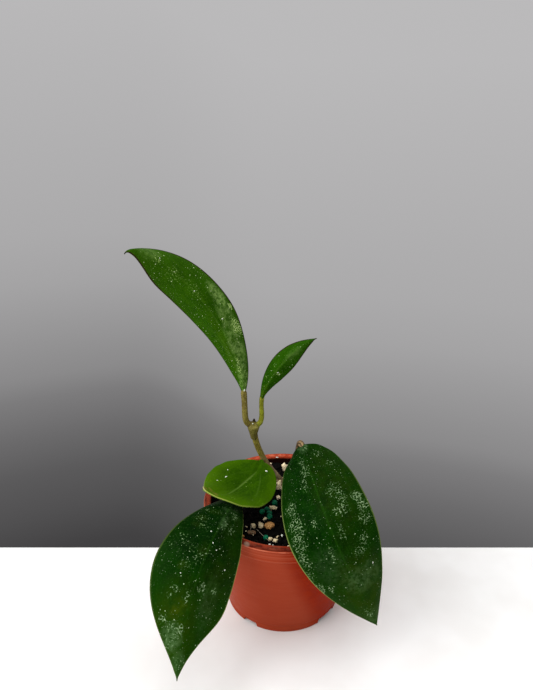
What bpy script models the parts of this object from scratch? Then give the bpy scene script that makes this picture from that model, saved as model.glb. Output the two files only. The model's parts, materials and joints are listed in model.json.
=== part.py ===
"""Potted hoya: a young plant with five stiff leaves on one stem, in a nine-centimetre plastic grower's pot.

Places are written in millimetres in the pot's own frame: its foot's centre is the zero point, +Z is up,
and -Y is the front, towards which the two largest leaves arch out over the rim.
"""

import math
import random

import bmesh
import bpy
import numpy as np
from mathutils import Matrix, Vector

MM = 0.001
SEED = 11

# Pot: a rounded lip, a short collar under it, a tapered wall and a notched foot ring.
POT_HEIGHT = 67.5
LIP_RADIUS = 45.0
LIP_INNER = 41.0
LIP_DROP = 3.2
COLLAR_RADIUS = 43.9
COLLAR_DROP = 8.6
WALL_TOP_RADIUS = 42.7
FOOT_RADIUS = 33.0
FOOT_WIDTH = 2.2
FOOT_HEIGHT = 3.0
WALL = 1.1
FLOOR_TOP = 4.3
POT_SIDES = 60
# Each notch in the foot: bearing from the front in degrees, and width in millimetres.
FOOT_NOTCHES = ((-35, 9), (48, 14), (145, 9), (228, 14))
DRAIN_RADIUS = 4.0
DRAIN_REACH = 25.5

# Soil: its level, the clearance to the pot and to the stem, and the size of its clods.
SOIL_LEVEL = 60.0
GAP = 0.3
CLOD = 0.7
# The soil is banked up behind the stem, between these two distances behind the pot's middle.
BANK_HEIGHT = 3.6
BANK_FOOT = 24.0
BANK_TOP = 39.0
STEM_FOOT = (1.0, 20.5)
STEM_RADIUS = 1.65
STEM_DEPTH = 9.0
PRILL_RADIUS = 1.65
PRILLS = ((-5, 2.5), (-12, -6.5), (-9.5, -3.5), (-8.2, -7.2), (-8, -11.5), (-10, -27.5))
# Each chip: place on the soil, then length, width and height.
CHIPS = (
    (0.8, 33.0, 2.8, 3.4, 9.0),
    (-2.8, 14.5, 3.0, 3.0, 3.0),
    (-2.8, 7.0, 2.6, 2.0, 2.0),
    (-6.2, -2.0, 2.2, 4.6, 2.2),
    (-10.3, -12.5, 2.6, 2.2, 2.0),
    (-12.7, -18.0, 3.4, 2.6, 2.4),
    (-8.0, -19.0, 5.2, 4.6, 3.2),
    (-16.8, -17.6, 4.0, 3.2, 2.6),
    (-18.0, -23.0, 4.2, 2.8, 2.4),
    (-6.0, -28.5, 2.8, 2.2, 2.2),
    (-3.6, -26.0, 2.6, 2.2, 2.0),
)
HIDDEN_CHIPS = 16

# Stem: the four handles of its Bezier curve. Leaf stalks: the first two handles of each, and how far before the
# blade its last handle lies on the midrib's line. Radii are at the start and the end.
STEM_CURVE = ((1, 20.5, 61), (-5, 18, 69.5), (-17.5, 15, 86.5), (-16.7, 12, 104.5))
STALKS = {
    "leaf_right": ((1.2, 19.8, 62.4), (12, 14, 98), 8.5),
    "leaf_lower_left": ((0, 20, 63), (-8, 14, 66), 12),
    "leaf_mid_left": ((-8.6, 16.9, 76.4), (-9.2, 15.5, 81), 4),
    "leaf_top_left": ((-16.7, 12, 104.5), (-22.5, 12, 105), 11),
    "leaf_top_right": ((-16.7, 12, 104.5), (-11, 12, 106.5), 9),
}
STALK_RADII = {
    "leaf_right": (1.6, 1.5),
    "leaf_lower_left": (1.5, 1.5),
    "leaf_mid_left": (1.2, 1.2),
    "leaf_top_left": (1.5, 1.4),
    "leaf_top_right": (1.2, 1.0),
}
NODES = ((-8.9, 16.9, 76.6, 2.1), (-16.7, 12, 104.8, 2.6), (0.2, 20.2, 63.5, 2.2))
BUD_HEIGHT = 3.4
TUBE_SIDES = 12
TUBE_STEPS = 12

# Leaves. mid: handles of the midrib's Bezier curve, from the stalk to the tip. up: where the upper face looks, at
# the base and at the tip. outline: powers that round the base and draw out the tip, and where the widest place
# lies. fold: how far each half sinks from the midrib in degrees, right half first, and how much more at its edge.
LEAVES = {
    "leaf_right": {
        "mid": ((9, 4, 98), (15.5, -26.5, 92.7), (14, -70.5, 104), (46.6, -54, 27)),
        "up": ((-0.27, -0.55, 0.8), (-0.1, -0.7, 0.6)),
        "outline": (0.46, 1.08, 0.88),
        "half": 24.0,
        "fold": (6, 6, 15),
        "colour": (0.012, 0.055, 0.010),
    },
    "leaf_lower_left": {
        "mid": ((-24, -5, 72.3), (-30.3, -57, 99.7), (-49.8, -67, 61), (-49.8, -92, 34.3)),
        "up": ((0.73, 0.7, 0.9), (0.22, -1.1, 0.4)),
        "outline": (0.93, 1.6, 1.28),
        "half": 22.6,
        "fold": (2, 18.6, 15),
        "colour": (0.010, 0.048, 0.010),
    },
    "leaf_mid_left": {
        "mid": ((-12.7, 8, 84.8), (-17.4, -5.4, 74.7), (-39, -27, 85.2), (-42, -26, 91.4)),
        "up": ((0, -0.6, 0.9), (-0.26, 0, 0.9)),
        "outline": (0.53, 1.02, 0.91),
        "half": 18.3,
        "fold": (-11, -25, 15),
        "colour": (0.060, 0.160, 0.012),
    },
    "leaf_top_left": {
        "mid": ((-21.8, 9, 129.8), (-26.3, 10, 176.8), (-69.7, -10, 220.6), (-75.7, -10, 209)),
        "up": ((0, -0.6, 0.5), (-0.44, -0.6, 0.7)),
        "outline": (0.58, 1.21, 1.18),
        "half": 14.7,
        "fold": (26, 26, 15),
        "colour": (0.022, 0.085, 0.010),
    },
    "leaf_top_right": {
        "mid": ((-12.1, 10, 125), (-10.8, 5.8, 136.3), (4.8, -3.2, 161), (15.5, -2, 163.7)),
        "up": ((0.07, -0.6, 0.6), (0.55, -0.6, 0.7)),
        "outline": (0.69, 1.11, 0.98),
        "half": 7.1,
        "fold": (26, 26, 15),
        "colour": (0.030, 0.110, 0.010),
    },
}
BLADE = 1.0
EDGE_BLADE = 0.7
RIB_DEPTH = 1.3
BASE_HALF = 1.5
TIP_HALF = 0.45
RIPPLE = 0.35
RIPPLES = 5
LEAF_ROWS = 26
LEAF_COLUMNS = (-1, -0.78, -0.5, -0.24, -0.06, 0, 0.06, 0.24, 0.5, 0.78, 1)


def clear_scene():
    for obj in list(bpy.data.objects):
        bpy.data.objects.remove(obj, do_unlink=True)


def material(name, colour, roughness, metallic=0.0):
    made = bpy.data.materials.new(name)
    made.use_nodes = True
    shader = made.node_tree.nodes["Principled BSDF"]
    shader.inputs["Base Color"].default_value = (*colour, 1)
    shader.inputs["Roughness"].default_value = roughness
    shader.inputs["Metallic"].default_value = metallic
    return made


def new_object(name, points, faces, look=None):
    """A mesh object from points in millimetres, with its faces turned outwards."""
    mesh = bpy.data.meshes.new(name)
    mesh.from_pydata([tuple(MM * c for c in p) for p in points], [], faces)
    work = bmesh.new()
    work.from_mesh(mesh)
    bmesh.ops.recalc_face_normals(work, faces=work.faces)
    work.to_mesh(mesh)
    work.free()
    mesh.shade_smooth()
    mesh.set_sharp_from_angle(angle=math.radians(35))
    obj = bpy.data.objects.new(name, mesh)
    bpy.context.scene.collection.objects.link(obj)
    if look:
        mesh.materials.append(look)
    return obj


def as_cutter(obj):
    obj.hide_render = True
    obj.display_type = "WIRE"
    return obj


def apply_boolean(target, operation, others):
    """Joins or cuts the target with the others, keeps the result in its mesh and removes the others."""
    group = bpy.data.collections.new("operands")
    bpy.context.scene.collection.children.link(group)
    for other in others:
        bpy.context.scene.collection.objects.unlink(other)
        group.objects.link(other)
    modifier = target.modifiers.new(operation.title(), "BOOLEAN")
    modifier.operation = operation
    modifier.operand_type = "COLLECTION"
    modifier.collection = group
    modifier.solver = "EXACT"
    bpy.context.view_layer.update()
    graph = bpy.context.evaluated_depsgraph_get()
    result = bpy.data.meshes.new_from_object(target.evaluated_get(graph))
    target.modifiers.clear()
    target.data = result
    for other in list(group.objects):
        bpy.data.objects.remove(other, do_unlink=True)
    bpy.data.collections.remove(group)


def lathe(name, profile, sides, look=None):
    """Turns a closed outline of (radius, height) points about Z. Points on the axis become single vertices."""
    points, rings = [], []
    for radius, height in profile:
        if radius == 0:
            rings.append([len(points)] * sides)
            points.append((0, 0, height))
            continue
        rings.append([len(points) + k for k in range(sides)])
        for k in range(sides):
            turn = 2 * math.pi * k / sides
            points.append((radius * math.sin(turn), -radius * math.cos(turn), height))
    faces = []
    for lower, upper in zip(rings, rings[1:]):
        for k in range(sides):
            ring = (lower[k], lower[(k + 1) % sides], upper[(k + 1) % sides], upper[k])
            faces.append(tuple(dict.fromkeys(ring)))
    return new_object(name, points, faces, look)


def wall_inner_radius(height):
    """Inner radius of the pot's wall, which tapers evenly from under the lip to the floor."""
    share = (height - FOOT_HEIGHT) / (POT_HEIGHT - COLLAR_DROP - FOOT_HEIGHT)
    return FOOT_RADIUS + 0.4 - WALL + share * (WALL_TOP_RADIUS - FOOT_RADIUS - 0.4)


def pot_profile():
    lip_top = POT_HEIGHT
    lip_foot = POT_HEIGHT - LIP_DROP
    collar_foot = POT_HEIGHT - COLLAR_DROP
    lip_middle = (LIP_INNER + LIP_RADIUS) / 2
    return (
        (0, FOOT_HEIGHT),
        (FOOT_RADIUS - FOOT_WIDTH, FOOT_HEIGHT),
        (FOOT_RADIUS - FOOT_WIDTH, 0),
        (FOOT_RADIUS, 0),
        (FOOT_RADIUS, FOOT_HEIGHT - 0.3),
        (FOOT_RADIUS + 0.4, FOOT_HEIGHT),
        (WALL_TOP_RADIUS, collar_foot),
        (COLLAR_RADIUS - 0.4, collar_foot + 0.5),
        (COLLAR_RADIUS, lip_foot),
        (LIP_RADIUS - 0.3, lip_foot),
        (LIP_RADIUS, lip_foot + 0.5),
        (LIP_RADIUS - 0.2, lip_top - 1.1),
        (LIP_RADIUS - 0.9, lip_top - 0.3),
        (lip_middle, lip_top),
        (LIP_INNER + 0.6, lip_top - 0.6),
        (LIP_INNER, lip_top - 1.5),
        (LIP_INNER + 0.2, lip_foot),
        (wall_inner_radius(collar_foot), collar_foot),
        (wall_inner_radius(FLOOR_TOP), FLOOR_TOP),
        (0, FLOOR_TOP),
    )


def notch_cutter(bearing, width):
    """A block that cuts one notch through the foot ring, under the floor."""
    turn = Matrix.Rotation(math.radians(bearing), 4, "Z")
    near, far = FOOT_RADIUS - FOOT_WIDTH - 2, FOOT_RADIUS + 3
    low, high = -2, FOOT_HEIGHT - 0.4
    corners = [(x, -y, z) for z in (low, high) for x, y in ((-1, near), (1, near), (1, far), (-1, far))]
    placed = [turn @ Vector((x * width / 2, y, z)) for x, y, z in corners]
    faces = ((0, 1, 2, 3), (4, 5, 6, 7), (0, 1, 5, 4), (1, 2, 6, 5), (2, 3, 7, 6), (3, 0, 4, 7))
    return new_object("notch_cutter", placed, faces)


def rod_cutter(name, x, y, radius, low, high, sides=16):
    """An upright rod, for a drain hole or for the hole that the stem stands in."""
    rod = lathe(name, ((0, low), (radius, low), (radius, high), (0, high)), sides)
    rod.data.transform(Matrix.Translation((x * MM, y * MM, 0)))
    return rod


def make_pot():
    look = material("terracotta_plastic", (0.30, 0.048, 0.022), 0.42)
    pot = lathe("pot", pot_profile(), POT_SIDES, look)
    cutters = []
    for bearing, width in FOOT_NOTCHES:
        cutters.append(notch_cutter(bearing, width))
        turn = math.radians(bearing)
        x, y = DRAIN_REACH * math.sin(turn), -DRAIN_REACH * math.cos(turn)
        cutters.append(rod_cutter("drain_cutter", x, y, DRAIN_RADIUS, 1, FLOOR_TOP + 1))
    apply_boolean(pot, "DIFFERENCE", [as_cutter(cutter) for cutter in cutters])


def pebble(x, y, z, size, detail, rng):
    """A small rounded or cornered lump, half sunk in the soil."""
    work = bmesh.new()
    bmesh.ops.create_icosphere(work, subdivisions=detail, radius=0.5)
    turn = Matrix.Rotation(rng.uniform(0, math.pi), 3, "Z")
    points = []
    for vertex in work.verts:
        p = turn @ Vector(c * s for c, s in zip(vertex.co, size))
        rough = 1 if detail > 1 else rng.uniform(0.82, 1.12)
        points.append((x + p.x * rough, y + p.y * rough, z + p.z * rough))
    faces = [tuple(v.index for v in face.verts) for face in work.faces]
    work.free()
    return new_object("pebble", points, faces)


def soil_height(x, y, phases):
    """Level of the soil's clods: a few crossed waves, lower near the wall and around the stem, and a bank at the back."""
    clods = sum(math.sin(x * k * 0.21 + a) * math.cos(y * k * 0.19 + b) / k for k, (a, b) in enumerate(phases, 1))
    reach = math.hypot(x, y) / wall_inner_radius(SOIL_LEVEL)
    dimple = 1.3 * math.exp(-((math.dist((x, y), STEM_FOOT) / 5) ** 2))
    climb = min(max((y - BANK_FOOT) / (BANK_TOP - BANK_FOOT), 0), 1)
    bank = BANK_HEIGHT * climb * climb * (3 - 2 * climb)
    return SOIL_LEVEL + CLOD * clods - 0.8 * reach**4 - dimple + bank


def make_soil():
    rng = random.Random(SEED)
    phases = [(rng.uniform(0, 6), rng.uniform(0, 6)) for _ in range(5)]
    rim = LIP_INNER - GAP
    foot = wall_inner_radius(FLOOR_TOP) - GAP
    shares = (1, 0.94, 0.84, 0.7, 0.55, 0.4, 0.25, 0.1)
    profile = [(0, FLOOR_TOP + GAP), (foot, FLOOR_TOP + GAP)]
    profile += [(rim * share, SOIL_LEVEL - 1) for share in shares] + [(0, SOIL_LEVEL - 1)]
    soil = lathe("soil", profile, POT_SIDES, material("potting_soil", (0.012, 0.009, 0.007), 0.95))
    for vertex in soil.data.vertices:
        if vertex.co.z > (SOIL_LEVEL - 2) * MM:
            vertex.co.z = MM * soil_height(vertex.co.x / MM, vertex.co.y / MM, phases)
    places = [(x, y, (2 * PRILL_RADIUS,) * 3, 2) for x, y in PRILLS]
    places += [(x, y, size, 1) for x, y, *size in CHIPS]
    while len(places) < len(PRILLS) + len(CHIPS) + HIDDEN_CHIPS:
        x, y = rng.uniform(-36, 36), rng.uniform(-36, 36)
        near_others = math.dist((x, y), STEM_FOOT) < 7 or (-22 < x < 4 and -34 < y < 34)
        if math.hypot(x, y) > 35 or near_others:
            continue
        places.append((x, y, [rng.uniform(2.2, 4.2) for _ in range(3)], 1))
    bits = []
    for x, y, size, detail in places:
        seat = soil_height(x, y, phases) + 0.12 * size[2]
        bits.append(pebble(x, y, seat, size, detail, rng))
    apply_boolean(soil, "UNION", bits)
    hole = rod_cutter("stem_hole", *STEM_FOOT, STEM_RADIUS + GAP, SOIL_LEVEL - STEM_DEPTH - GAP, SOIL_LEVEL + 4, 20)
    apply_boolean(soil, "DIFFERENCE", [as_cutter(hole)])


def bezier(handles, share):
    a, b, c, d = (np.array(h, float) for h in handles)
    t = np.asarray(share, float)[:, None]
    return (1 - t) ** 3 * a + 3 * t * (1 - t) ** 2 * b + 3 * t * t * (1 - t) * c + t**3 * d


def bezier_slope(handles, share):
    a, b, c, d = (np.array(h, float) for h in handles)
    t = np.asarray(share, float)[:, None]
    slope = (1 - t) ** 2 * (b - a) + 2 * t * (1 - t) * (c - b) + t * t * (d - c)
    return slope / np.linalg.norm(slope, axis=1)[:, None]


def tube(name, centres, slopes, radii):
    """A round tube along the centres, closed by flat ends."""
    across = np.cross(slopes, (0.31, 0.95, 0.02))
    across /= np.linalg.norm(across, axis=1)[:, None]
    other = np.cross(slopes, across)
    points = []
    for centre, u, v, radius in zip(centres, across, other, radii):
        for k in range(TUBE_SIDES):
            turn = 2 * math.pi * k / TUBE_SIDES
            points.append(centre + radius * (math.cos(turn) * u + math.sin(turn) * v))
    faces = [tuple(range(TUBE_SIDES)), tuple(range(len(points) - TUBE_SIDES, len(points)))]
    for row in range(len(centres) - 1):
        for k in range(TUBE_SIDES):
            here, after = row * TUBE_SIDES + k, row * TUBE_SIDES + (k + 1) % TUBE_SIDES
            faces.append((here, after, after + TUBE_SIDES, here + TUBE_SIDES))
    return new_object(name, points, faces, None)


def blade_start(leaf):
    """Where a blade's midrib starts, which way it runs and where the upper face looks there."""
    base = np.array(leaf["mid"][0], float)
    along = bezier_slope(leaf["mid"], [0.0])[0]
    face = np.array(leaf["up"][0], float)
    face -= (face @ along) * along
    return base, along, face / np.linalg.norm(face)


def stalk_handles(name):
    """The stalk's handles: its flat end stands a gap away from the blade's, below the upper face."""
    start, rise, reach = STALKS[name]
    base, along, face = blade_start(LEAVES[name])
    end = base - GAP * along - (BLADE + RIB_DEPTH) / 2 * face
    return start, rise, end - reach * along, end


def make_stem():
    share = np.linspace(0, 1, TUBE_STEPS + 1)
    centres = bezier(STEM_CURVE, share)
    slopes = bezier_slope(STEM_CURVE, share)
    buried = np.array((*STEM_FOOT, SOIL_LEVEL - STEM_DEPTH))
    centres = np.vstack([buried, (*STEM_FOOT, SOIL_LEVEL), centres[1:]])
    slopes = np.vstack([(0, 0, 1), (0, 0, 1), slopes[1:]])
    stem = tube("stem", centres, slopes, np.linspace(STEM_RADIUS, 1.6, len(centres)))
    stem.data.materials.append(material("stem_skin", (0.13, 0.10, 0.03), 0.55))
    joined = []
    for leaf, (first, last) in STALK_RADII.items():
        handles = stalk_handles(leaf)
        radii = first + (last - first) * share
        joined.append(tube("stalk", bezier(handles, share), bezier_slope(handles, share), radii))
    rng = random.Random(SEED)
    for x, y, z, radius in NODES:
        joined.append(pebble(x, y, z, (2 * radius, 2 * radius, 1.7 * radius), 2, rng))
    top = np.array(STEM_CURVE[-1], float)
    rise = np.array((0.1, 0, 1.0))
    heights = np.linspace(0, BUD_HEIGHT, 4)
    joined.append(tube("bud", [top + rise * h for h in heights], np.tile(rise, (4, 1)), (1.3, 1.2, 0.8, 0.3)))
    apply_boolean(stem, "UNION", joined)


def leaf_rows():
    """Shares along the midrib, closer together at the base and the tip."""
    even = np.linspace(0, 1, LEAF_ROWS + 1)
    return 0.35 * even + 0.65 * (1 - np.cos(math.pi * even)) / 2


def even_shares(handles, rows):
    """Curve parameters that lie at these shares of the curve's length."""
    fine = np.linspace(0, 1, 400)
    steps = np.linalg.norm(np.diff(bezier(handles, fine), axis=0), axis=1)
    length = np.concatenate([[0], np.cumsum(steps)])
    return np.interp(rows, length / length[-1], fine)


def half_width(leaf, rows):
    base_power, tip_power, skew = leaf["outline"]
    place = rows**skew
    profile = np.clip(4 * place * (1 - place), 0, 1) ** (base_power + (tip_power - base_power) * rows)
    end = BASE_HALF + (TIP_HALF - BASE_HALF) * rows
    return np.hypot(leaf["half"] * profile / profile.max(), end)


def column_sinks(leaf):
    """How far each column of a blade leans down from its midrib, in radians."""
    left, right, more = (math.radians(angle) for angle in leaf["fold"])
    return [(left if column < 0 else right) + more * abs(column) for column in LEAF_COLUMNS]


def blade_grid(leaf):
    """Points of the upper face, row by row, and the direction out of the leaf's face at each row."""
    rows = leaf_rows()
    shares = even_shares(leaf["mid"], rows)
    centre = bezier(leaf["mid"], shares)
    along = bezier_slope(leaf["mid"], shares)
    up = np.outer(1 - rows, leaf["up"][0]) + np.outer(rows, leaf["up"][1])
    face = up - (up * along).sum(axis=1)[:, None] * along
    face /= np.linalg.norm(face, axis=1)[:, None]
    side = np.cross(along, face)
    reach = half_width(leaf, rows)
    grid = np.empty((len(rows), len(LEAF_COLUMNS), 3))
    for k, (column, sink) in enumerate(zip(LEAF_COLUMNS, column_sinks(leaf))):
        wave = RIPPLE * column**2 * np.sin(2 * math.pi * RIPPLES * rows + 2 * column)
        out = column * reach * math.cos(sink)
        down = abs(column) * reach * math.sin(sink) + wave * np.sin(math.pi * rows)
        grid[:, k] = centre + out[:, None] * side - down[:, None] * face
    return grid, face


def make_leaf(name, leaf):
    upper, face = blade_grid(leaf)
    column = np.abs(np.array(LEAF_COLUMNS))
    thickness = (BLADE + (EDGE_BLADE - BLADE) * column) / np.cos(column_sinks(leaf))
    rib = np.where(column == 0, RIB_DEPTH, np.where(column < 0.1, 0.5 * RIB_DEPTH, 0))
    fade = 1 - 0.85 * leaf_rows()
    depth = thickness[None, :] + np.outer(fade, rib)
    lower = upper - depth[:, :, None] * face[:, None, :]
    rows, columns = upper.shape[:2]
    points = [tuple(p) for p in upper.reshape(-1, 3)] + [tuple(p) for p in lower.reshape(-1, 3)]
    under = rows * columns
    faces = []
    for i in range(rows - 1):
        for k in range(columns - 1):
            a = i * columns + k
            b, c, d = a + 1, a + columns + 1, a + columns
            for triangle in ((a, b, c), (a, c, d)):
                faces.append(triangle)
                faces.append(tuple(under + v for v in reversed(triangle)))
    edge = [i * columns for i in range(rows)]
    edge += [(rows - 1) * columns + k for k in range(1, columns)]
    edge += [i * columns + columns - 1 for i in range(rows - 2, -1, -1)]
    edge += [k for k in range(columns - 2, 0, -1)]
    for here, after in zip(edge, edge[1:] + edge[:1]):
        faces.append((here, after, under + after, under + here))
    look = material(name.replace("leaf", "blade"), leaf["colour"], 0.4)
    new_object(name, points, faces, look)


def stand_on_origin():
    """Moves the whole plant so that the middle of its outer box's bottom is the world's zero point."""
    solids = [obj for obj in bpy.data.objects if obj.type == "MESH"]
    corners = np.array([tuple(v.co) for obj in solids for v in obj.data.vertices])
    low, high = corners.min(axis=0), corners.max(axis=0)
    shift = Vector((-(low[0] + high[0]) / 2, -(low[1] + high[1]) / 2, -low[2]))
    for obj in solids:
        obj.data.transform(Matrix.Translation(shift))


def main():
    clear_scene()
    make_pot()
    make_soil()
    make_stem()
    for name, leaf in LEAVES.items():
        make_leaf(name, leaf)
    stand_on_origin()


main()
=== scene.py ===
"""Finish of the potted hoya: waxy splashed leaves, ribbed stalks, potting mix and a moulded terracotta pot.

Places are written in millimetres in the pot's own frame: the middle of its foot is the zero point, +Z is
up and -Y is the front. Places on a leaf are shares: across from its midrib (-1 to 1) and along it (0 to 1).
"""

import json
import math
import random

import bmesh
import bpy
import numpy as np
from mathutils import Matrix, Vector, noise as turbulence
from mathutils.kdtree import KDTree

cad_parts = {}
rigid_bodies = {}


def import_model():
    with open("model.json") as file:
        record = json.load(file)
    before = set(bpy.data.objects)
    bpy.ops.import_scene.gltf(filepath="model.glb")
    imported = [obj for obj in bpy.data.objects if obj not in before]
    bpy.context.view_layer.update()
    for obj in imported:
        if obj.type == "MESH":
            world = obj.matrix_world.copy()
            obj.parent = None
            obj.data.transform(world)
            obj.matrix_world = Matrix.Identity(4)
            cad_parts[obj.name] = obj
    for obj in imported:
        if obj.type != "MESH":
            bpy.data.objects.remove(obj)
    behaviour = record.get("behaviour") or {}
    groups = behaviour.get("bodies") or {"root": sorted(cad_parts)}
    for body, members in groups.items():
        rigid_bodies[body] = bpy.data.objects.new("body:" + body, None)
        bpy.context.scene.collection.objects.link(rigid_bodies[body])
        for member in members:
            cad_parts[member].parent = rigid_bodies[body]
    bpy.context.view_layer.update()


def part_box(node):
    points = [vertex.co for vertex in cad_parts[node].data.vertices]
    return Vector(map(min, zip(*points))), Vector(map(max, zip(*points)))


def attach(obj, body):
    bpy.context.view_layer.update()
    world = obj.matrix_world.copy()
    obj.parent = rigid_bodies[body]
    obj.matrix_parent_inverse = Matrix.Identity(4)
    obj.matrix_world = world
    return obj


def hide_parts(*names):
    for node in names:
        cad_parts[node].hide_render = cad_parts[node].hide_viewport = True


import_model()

MM = 0.001
SEED = 7
pot_low, pot_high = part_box("pot")
POT_AXIS = np.array(((pot_low.x + pot_high.x) / 2, (pot_low.y + pot_high.y) / 2, pot_low.z))

# Pot: its height, radii and foot are the solid's. The collar, foot band and lip are finer here.
POT_HEIGHT = 67.5
LIP_RADIUS = 45.0
LIP_INNER = 41.0
LIP_FOOT = POT_HEIGHT - 2.6
COLLAR_RADIUS = 43.9
COLLAR_FOOT = POT_HEIGHT - 10.5
WALL_TOP_RADIUS = 42.7
FOOT_RADIUS = 33.0
FOOT_WIDTH = 2.2
FOOT_HEIGHT = 3.0
FOOT_BAND = 4.8
WALL = 1.1
# How far the wall stands out from the foot ring where the two meet.
WALL_STEP = 0.4
FLOOR_TOP = 4.3
# Each notch in the foot: bearing from the front in degrees, and width. A drain hole lies behind each.
FOOT_NOTCHES = ((-35, 9), (48, 14), (145, 9), (228, 14))
NOTCH_SLOPE = 0.7
DRAIN_RADIUS = 4.0
DRAIN_REACH = 25.5
DRAIN_SIDES = 32
POT_SIDES = 168
CORNER = 0.55
CORNER_STEPS = 4
SHARP_ANGLE = 40

# Soil and what lies on it.
SOIL_LEVEL = 60.0
SOIL_SEED = 11
SOIL_CELLS = 150
CLOD = 0.7
# How far the soil sinks towards the wall, and how deep and wide its dimple round the stem is.
WALL_SINK = 0.8
DIMPLE_DEPTH, DIMPLE_WIDTH = 1.3, 5.0
# The soil is banked up behind the stem, between these two distances behind the pot's middle.
BANK_HEIGHT = 3.6
BANK_FOOT = 24.0
BANK_TOP = 39.0
GAP = 0.3
STEM_FOOT = (1.0, 20.5)
STEM_CLEARANCE = 3.2
# What is scattered at random: how many, and how far from the pot's middle.
CRUMB_COUNT, CRUMB_REACH = 620, 39.5
FIBRE_COUNT, FIBRE_REACH = 110, 38.5
SMALL_CHIP_COUNT, SMALL_CHIP_REACH = 60, 38.0
# Where the soil shows between the leaves, in X and in Y: the small chips there are pale and smaller.
OPEN_SOIL = ((-22, 12), (-34, 40))
# A dried smear on the lip.
SMEAR = (-20.1, -40.4, 66.9)
# White grains on the lip, on the soil and on the upper joint: place, length and width.
WHITE_GRAINS = (
    (-8.1, -40.5, 67.1, 1.3, 0.4),
    (-6.4, -41.0, 67.1, 0.5, 0.4),
    # This grain stands where the back of the lip shows a glint, and its white is partly a painted highlight.
    (-3.1, 40.3, 66.8, 1.7, 0.7),
    (-17.3, 10.1, 107.8, 0.7, 0.5),
    (-1.5, -26.8, 61.4, 1.1, 1.9),
)
PRILL_RADIUS = 1.65
PRILLS = (
    (-5, 2.5), (-12, -6.5), (-9.5, -3.5), (-8.2, -7.2), (-8, -11.5), (-10, -27.5),
    (24, -8), (18, 19), (-27, 16), (10, -20), (-20, 27), (30, 8),
)
# Each chip: place on the soil, then length, width and height, and what it is made of.
CHIPS = (
    (1.6, 33.0, 2.8, 3.0, 6.2, "cream"),
    (-2.4, 16.6, 3.6, 3.4, 6.0, "cream"),
    (-2.8, 7.0, 2.6, 2.0, 2.0, "cream"),
    (-6.2, -2.0, 2.2, 4.6, 2.2, "cream"),
    (-10.3, -12.5, 2.6, 2.2, 2.0, "cream"),
    (-12.7, -18.0, 3.4, 2.6, 2.4, "cream"),
    (-8.0, -19.0, 5.2, 4.6, 3.2, "tan"),
    (-16.6, -17.6, 2.2, 3.0, 2.2, "cream"),
    (-17.6, -23.0, 4.4, 2.0, 1.6, "brown"),
    (-20.4, -18.6, 1.1, 1.0, 1.2, "cream"),
    (-6.9, 38.6, 1.0, 0.9, 1.1, "cream"),
    (-7.7, -28.0, 2.2, 1.8, 2.0, "cream"),
    (-5.0, -29.4, 2.4, 2.2, 1.8, "cream"),
    (-3.8, -26.6, 1.4, 1.0, 1.0, "cream"),
)
# Each kind of chip: its piece, and its dark colour, light colour and roughness.
CHIP_KINDS = {
    "cream": ("pumice_chips", (222, 198, 152), (252, 240, 208), 0.75),
    "tan": ("clay_chips", (156, 100, 48), (226, 180, 118), 0.7),
    "brown": ("bark_chips", (104, 74, 52), (168, 134, 104), 0.8),
}
# Fine root threads that lie on the soil: four Bezier handles each, and their radius.
ROOT_THREADS = (
    ((-15.3, -21.3, 61.2), (-13.6, -24.0, 62.0), (-12.1, -27.0, 61.4), (-8.1, -30.9, 60.8)),
    ((-18.5, -16.5, 60.8), (-17.0, -20.0, 62.2), (-20.5, -22.5, 61.6), (-16.5, -24.5, 60.9)),
    ((-13.5, -14.5, 60.8), (-12.2, -16.0, 62.1), (-14.5, -18.5, 61.7), (-13.2, -20.5, 60.8)),
    ((6.0, -30.0, 60.6), (9.5, -27.5, 61.9), (14.0, -28.5, 61.4), (16.5, -25.0, 60.7)),
    ((-27.0, 3.0, 60.4), (-24.0, 6.5, 61.8), (-26.5, 11.0, 61.3), (-22.0, 14.0, 60.5)),
    ((20.0, 12.0, 60.6), (23.5, 8.0, 61.8), (21.0, 3.5, 61.5), (25.5, 0.0, 60.5)),
)
THREAD_RADIUS = 0.13
THREAD_STEPS = 40
THREAD_SIDES = 8

# Skin colours of the stem and its stalks.
OLIVE = (142, 132, 54)
KHAKI = (122, 116, 54)
BROWN_OLIVE = (124, 114, 50)
YELLOW_GREEN = (136, 142, 34)
BARK = (158, 140, 108)
BEIGE = (150, 124, 86)
GREEN_BROWN = (74, 80, 24)
BUD_BROWN = (40, 34, 14)

# The stem: its curve's Bezier handles, and its radius at the points with these numbers, first to last.
STEM_CURVE = ((1, 20.5, 61), (-5, 18, 69.5), (-16.9, 15, 86.5), (-16.7, 12, 104.5))
FOOT_STEPS = 12
STEM_RADII = ((0, 1.9), (12, 1.8), (40, 1.65), (71, 1.85))
# Each stalk: the first two handles of its curve, how far before the blade its last handle lies on the
# midrib's line, and its radii and its colours at the start and the end.
STALKS = {
    "leaf_right": ((1.2, 19.8, 62.4), (10, 12, 84), 9, (1.45, 1.75), (BARK, BEIGE)),
    "leaf_lower_left": ((0, 20, 63), (-8, 14, 66), 12, (1.5, 1.5), (BARK, GREEN_BROWN)),
    "leaf_mid_left": ((-8.8, 16.5, 76.0), (-10.5, 12, 78), 2.5, (1.0, 0.85), (OLIVE, GREEN_BROWN)),
    "leaf_top_left": ((-16.9, 12, 106.2), (-23.4, 12, 106.0), 14, (1.8, 1.6), (BROWN_OLIVE, BROWN_OLIVE)),
    "leaf_top_right": (
        (-16.6, 12, 106.2), (-10.2, 12, 105.9), 11, (1.55, 1.25), (YELLOW_GREEN, YELLOW_GREEN),
    ),
}
KNOTS = ((-8.9, 16.9, 76.6, 1.55), (-16.9, 12, 103.4, 2.0), (0.2, 20.2, 63.5, 2.2))
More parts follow.
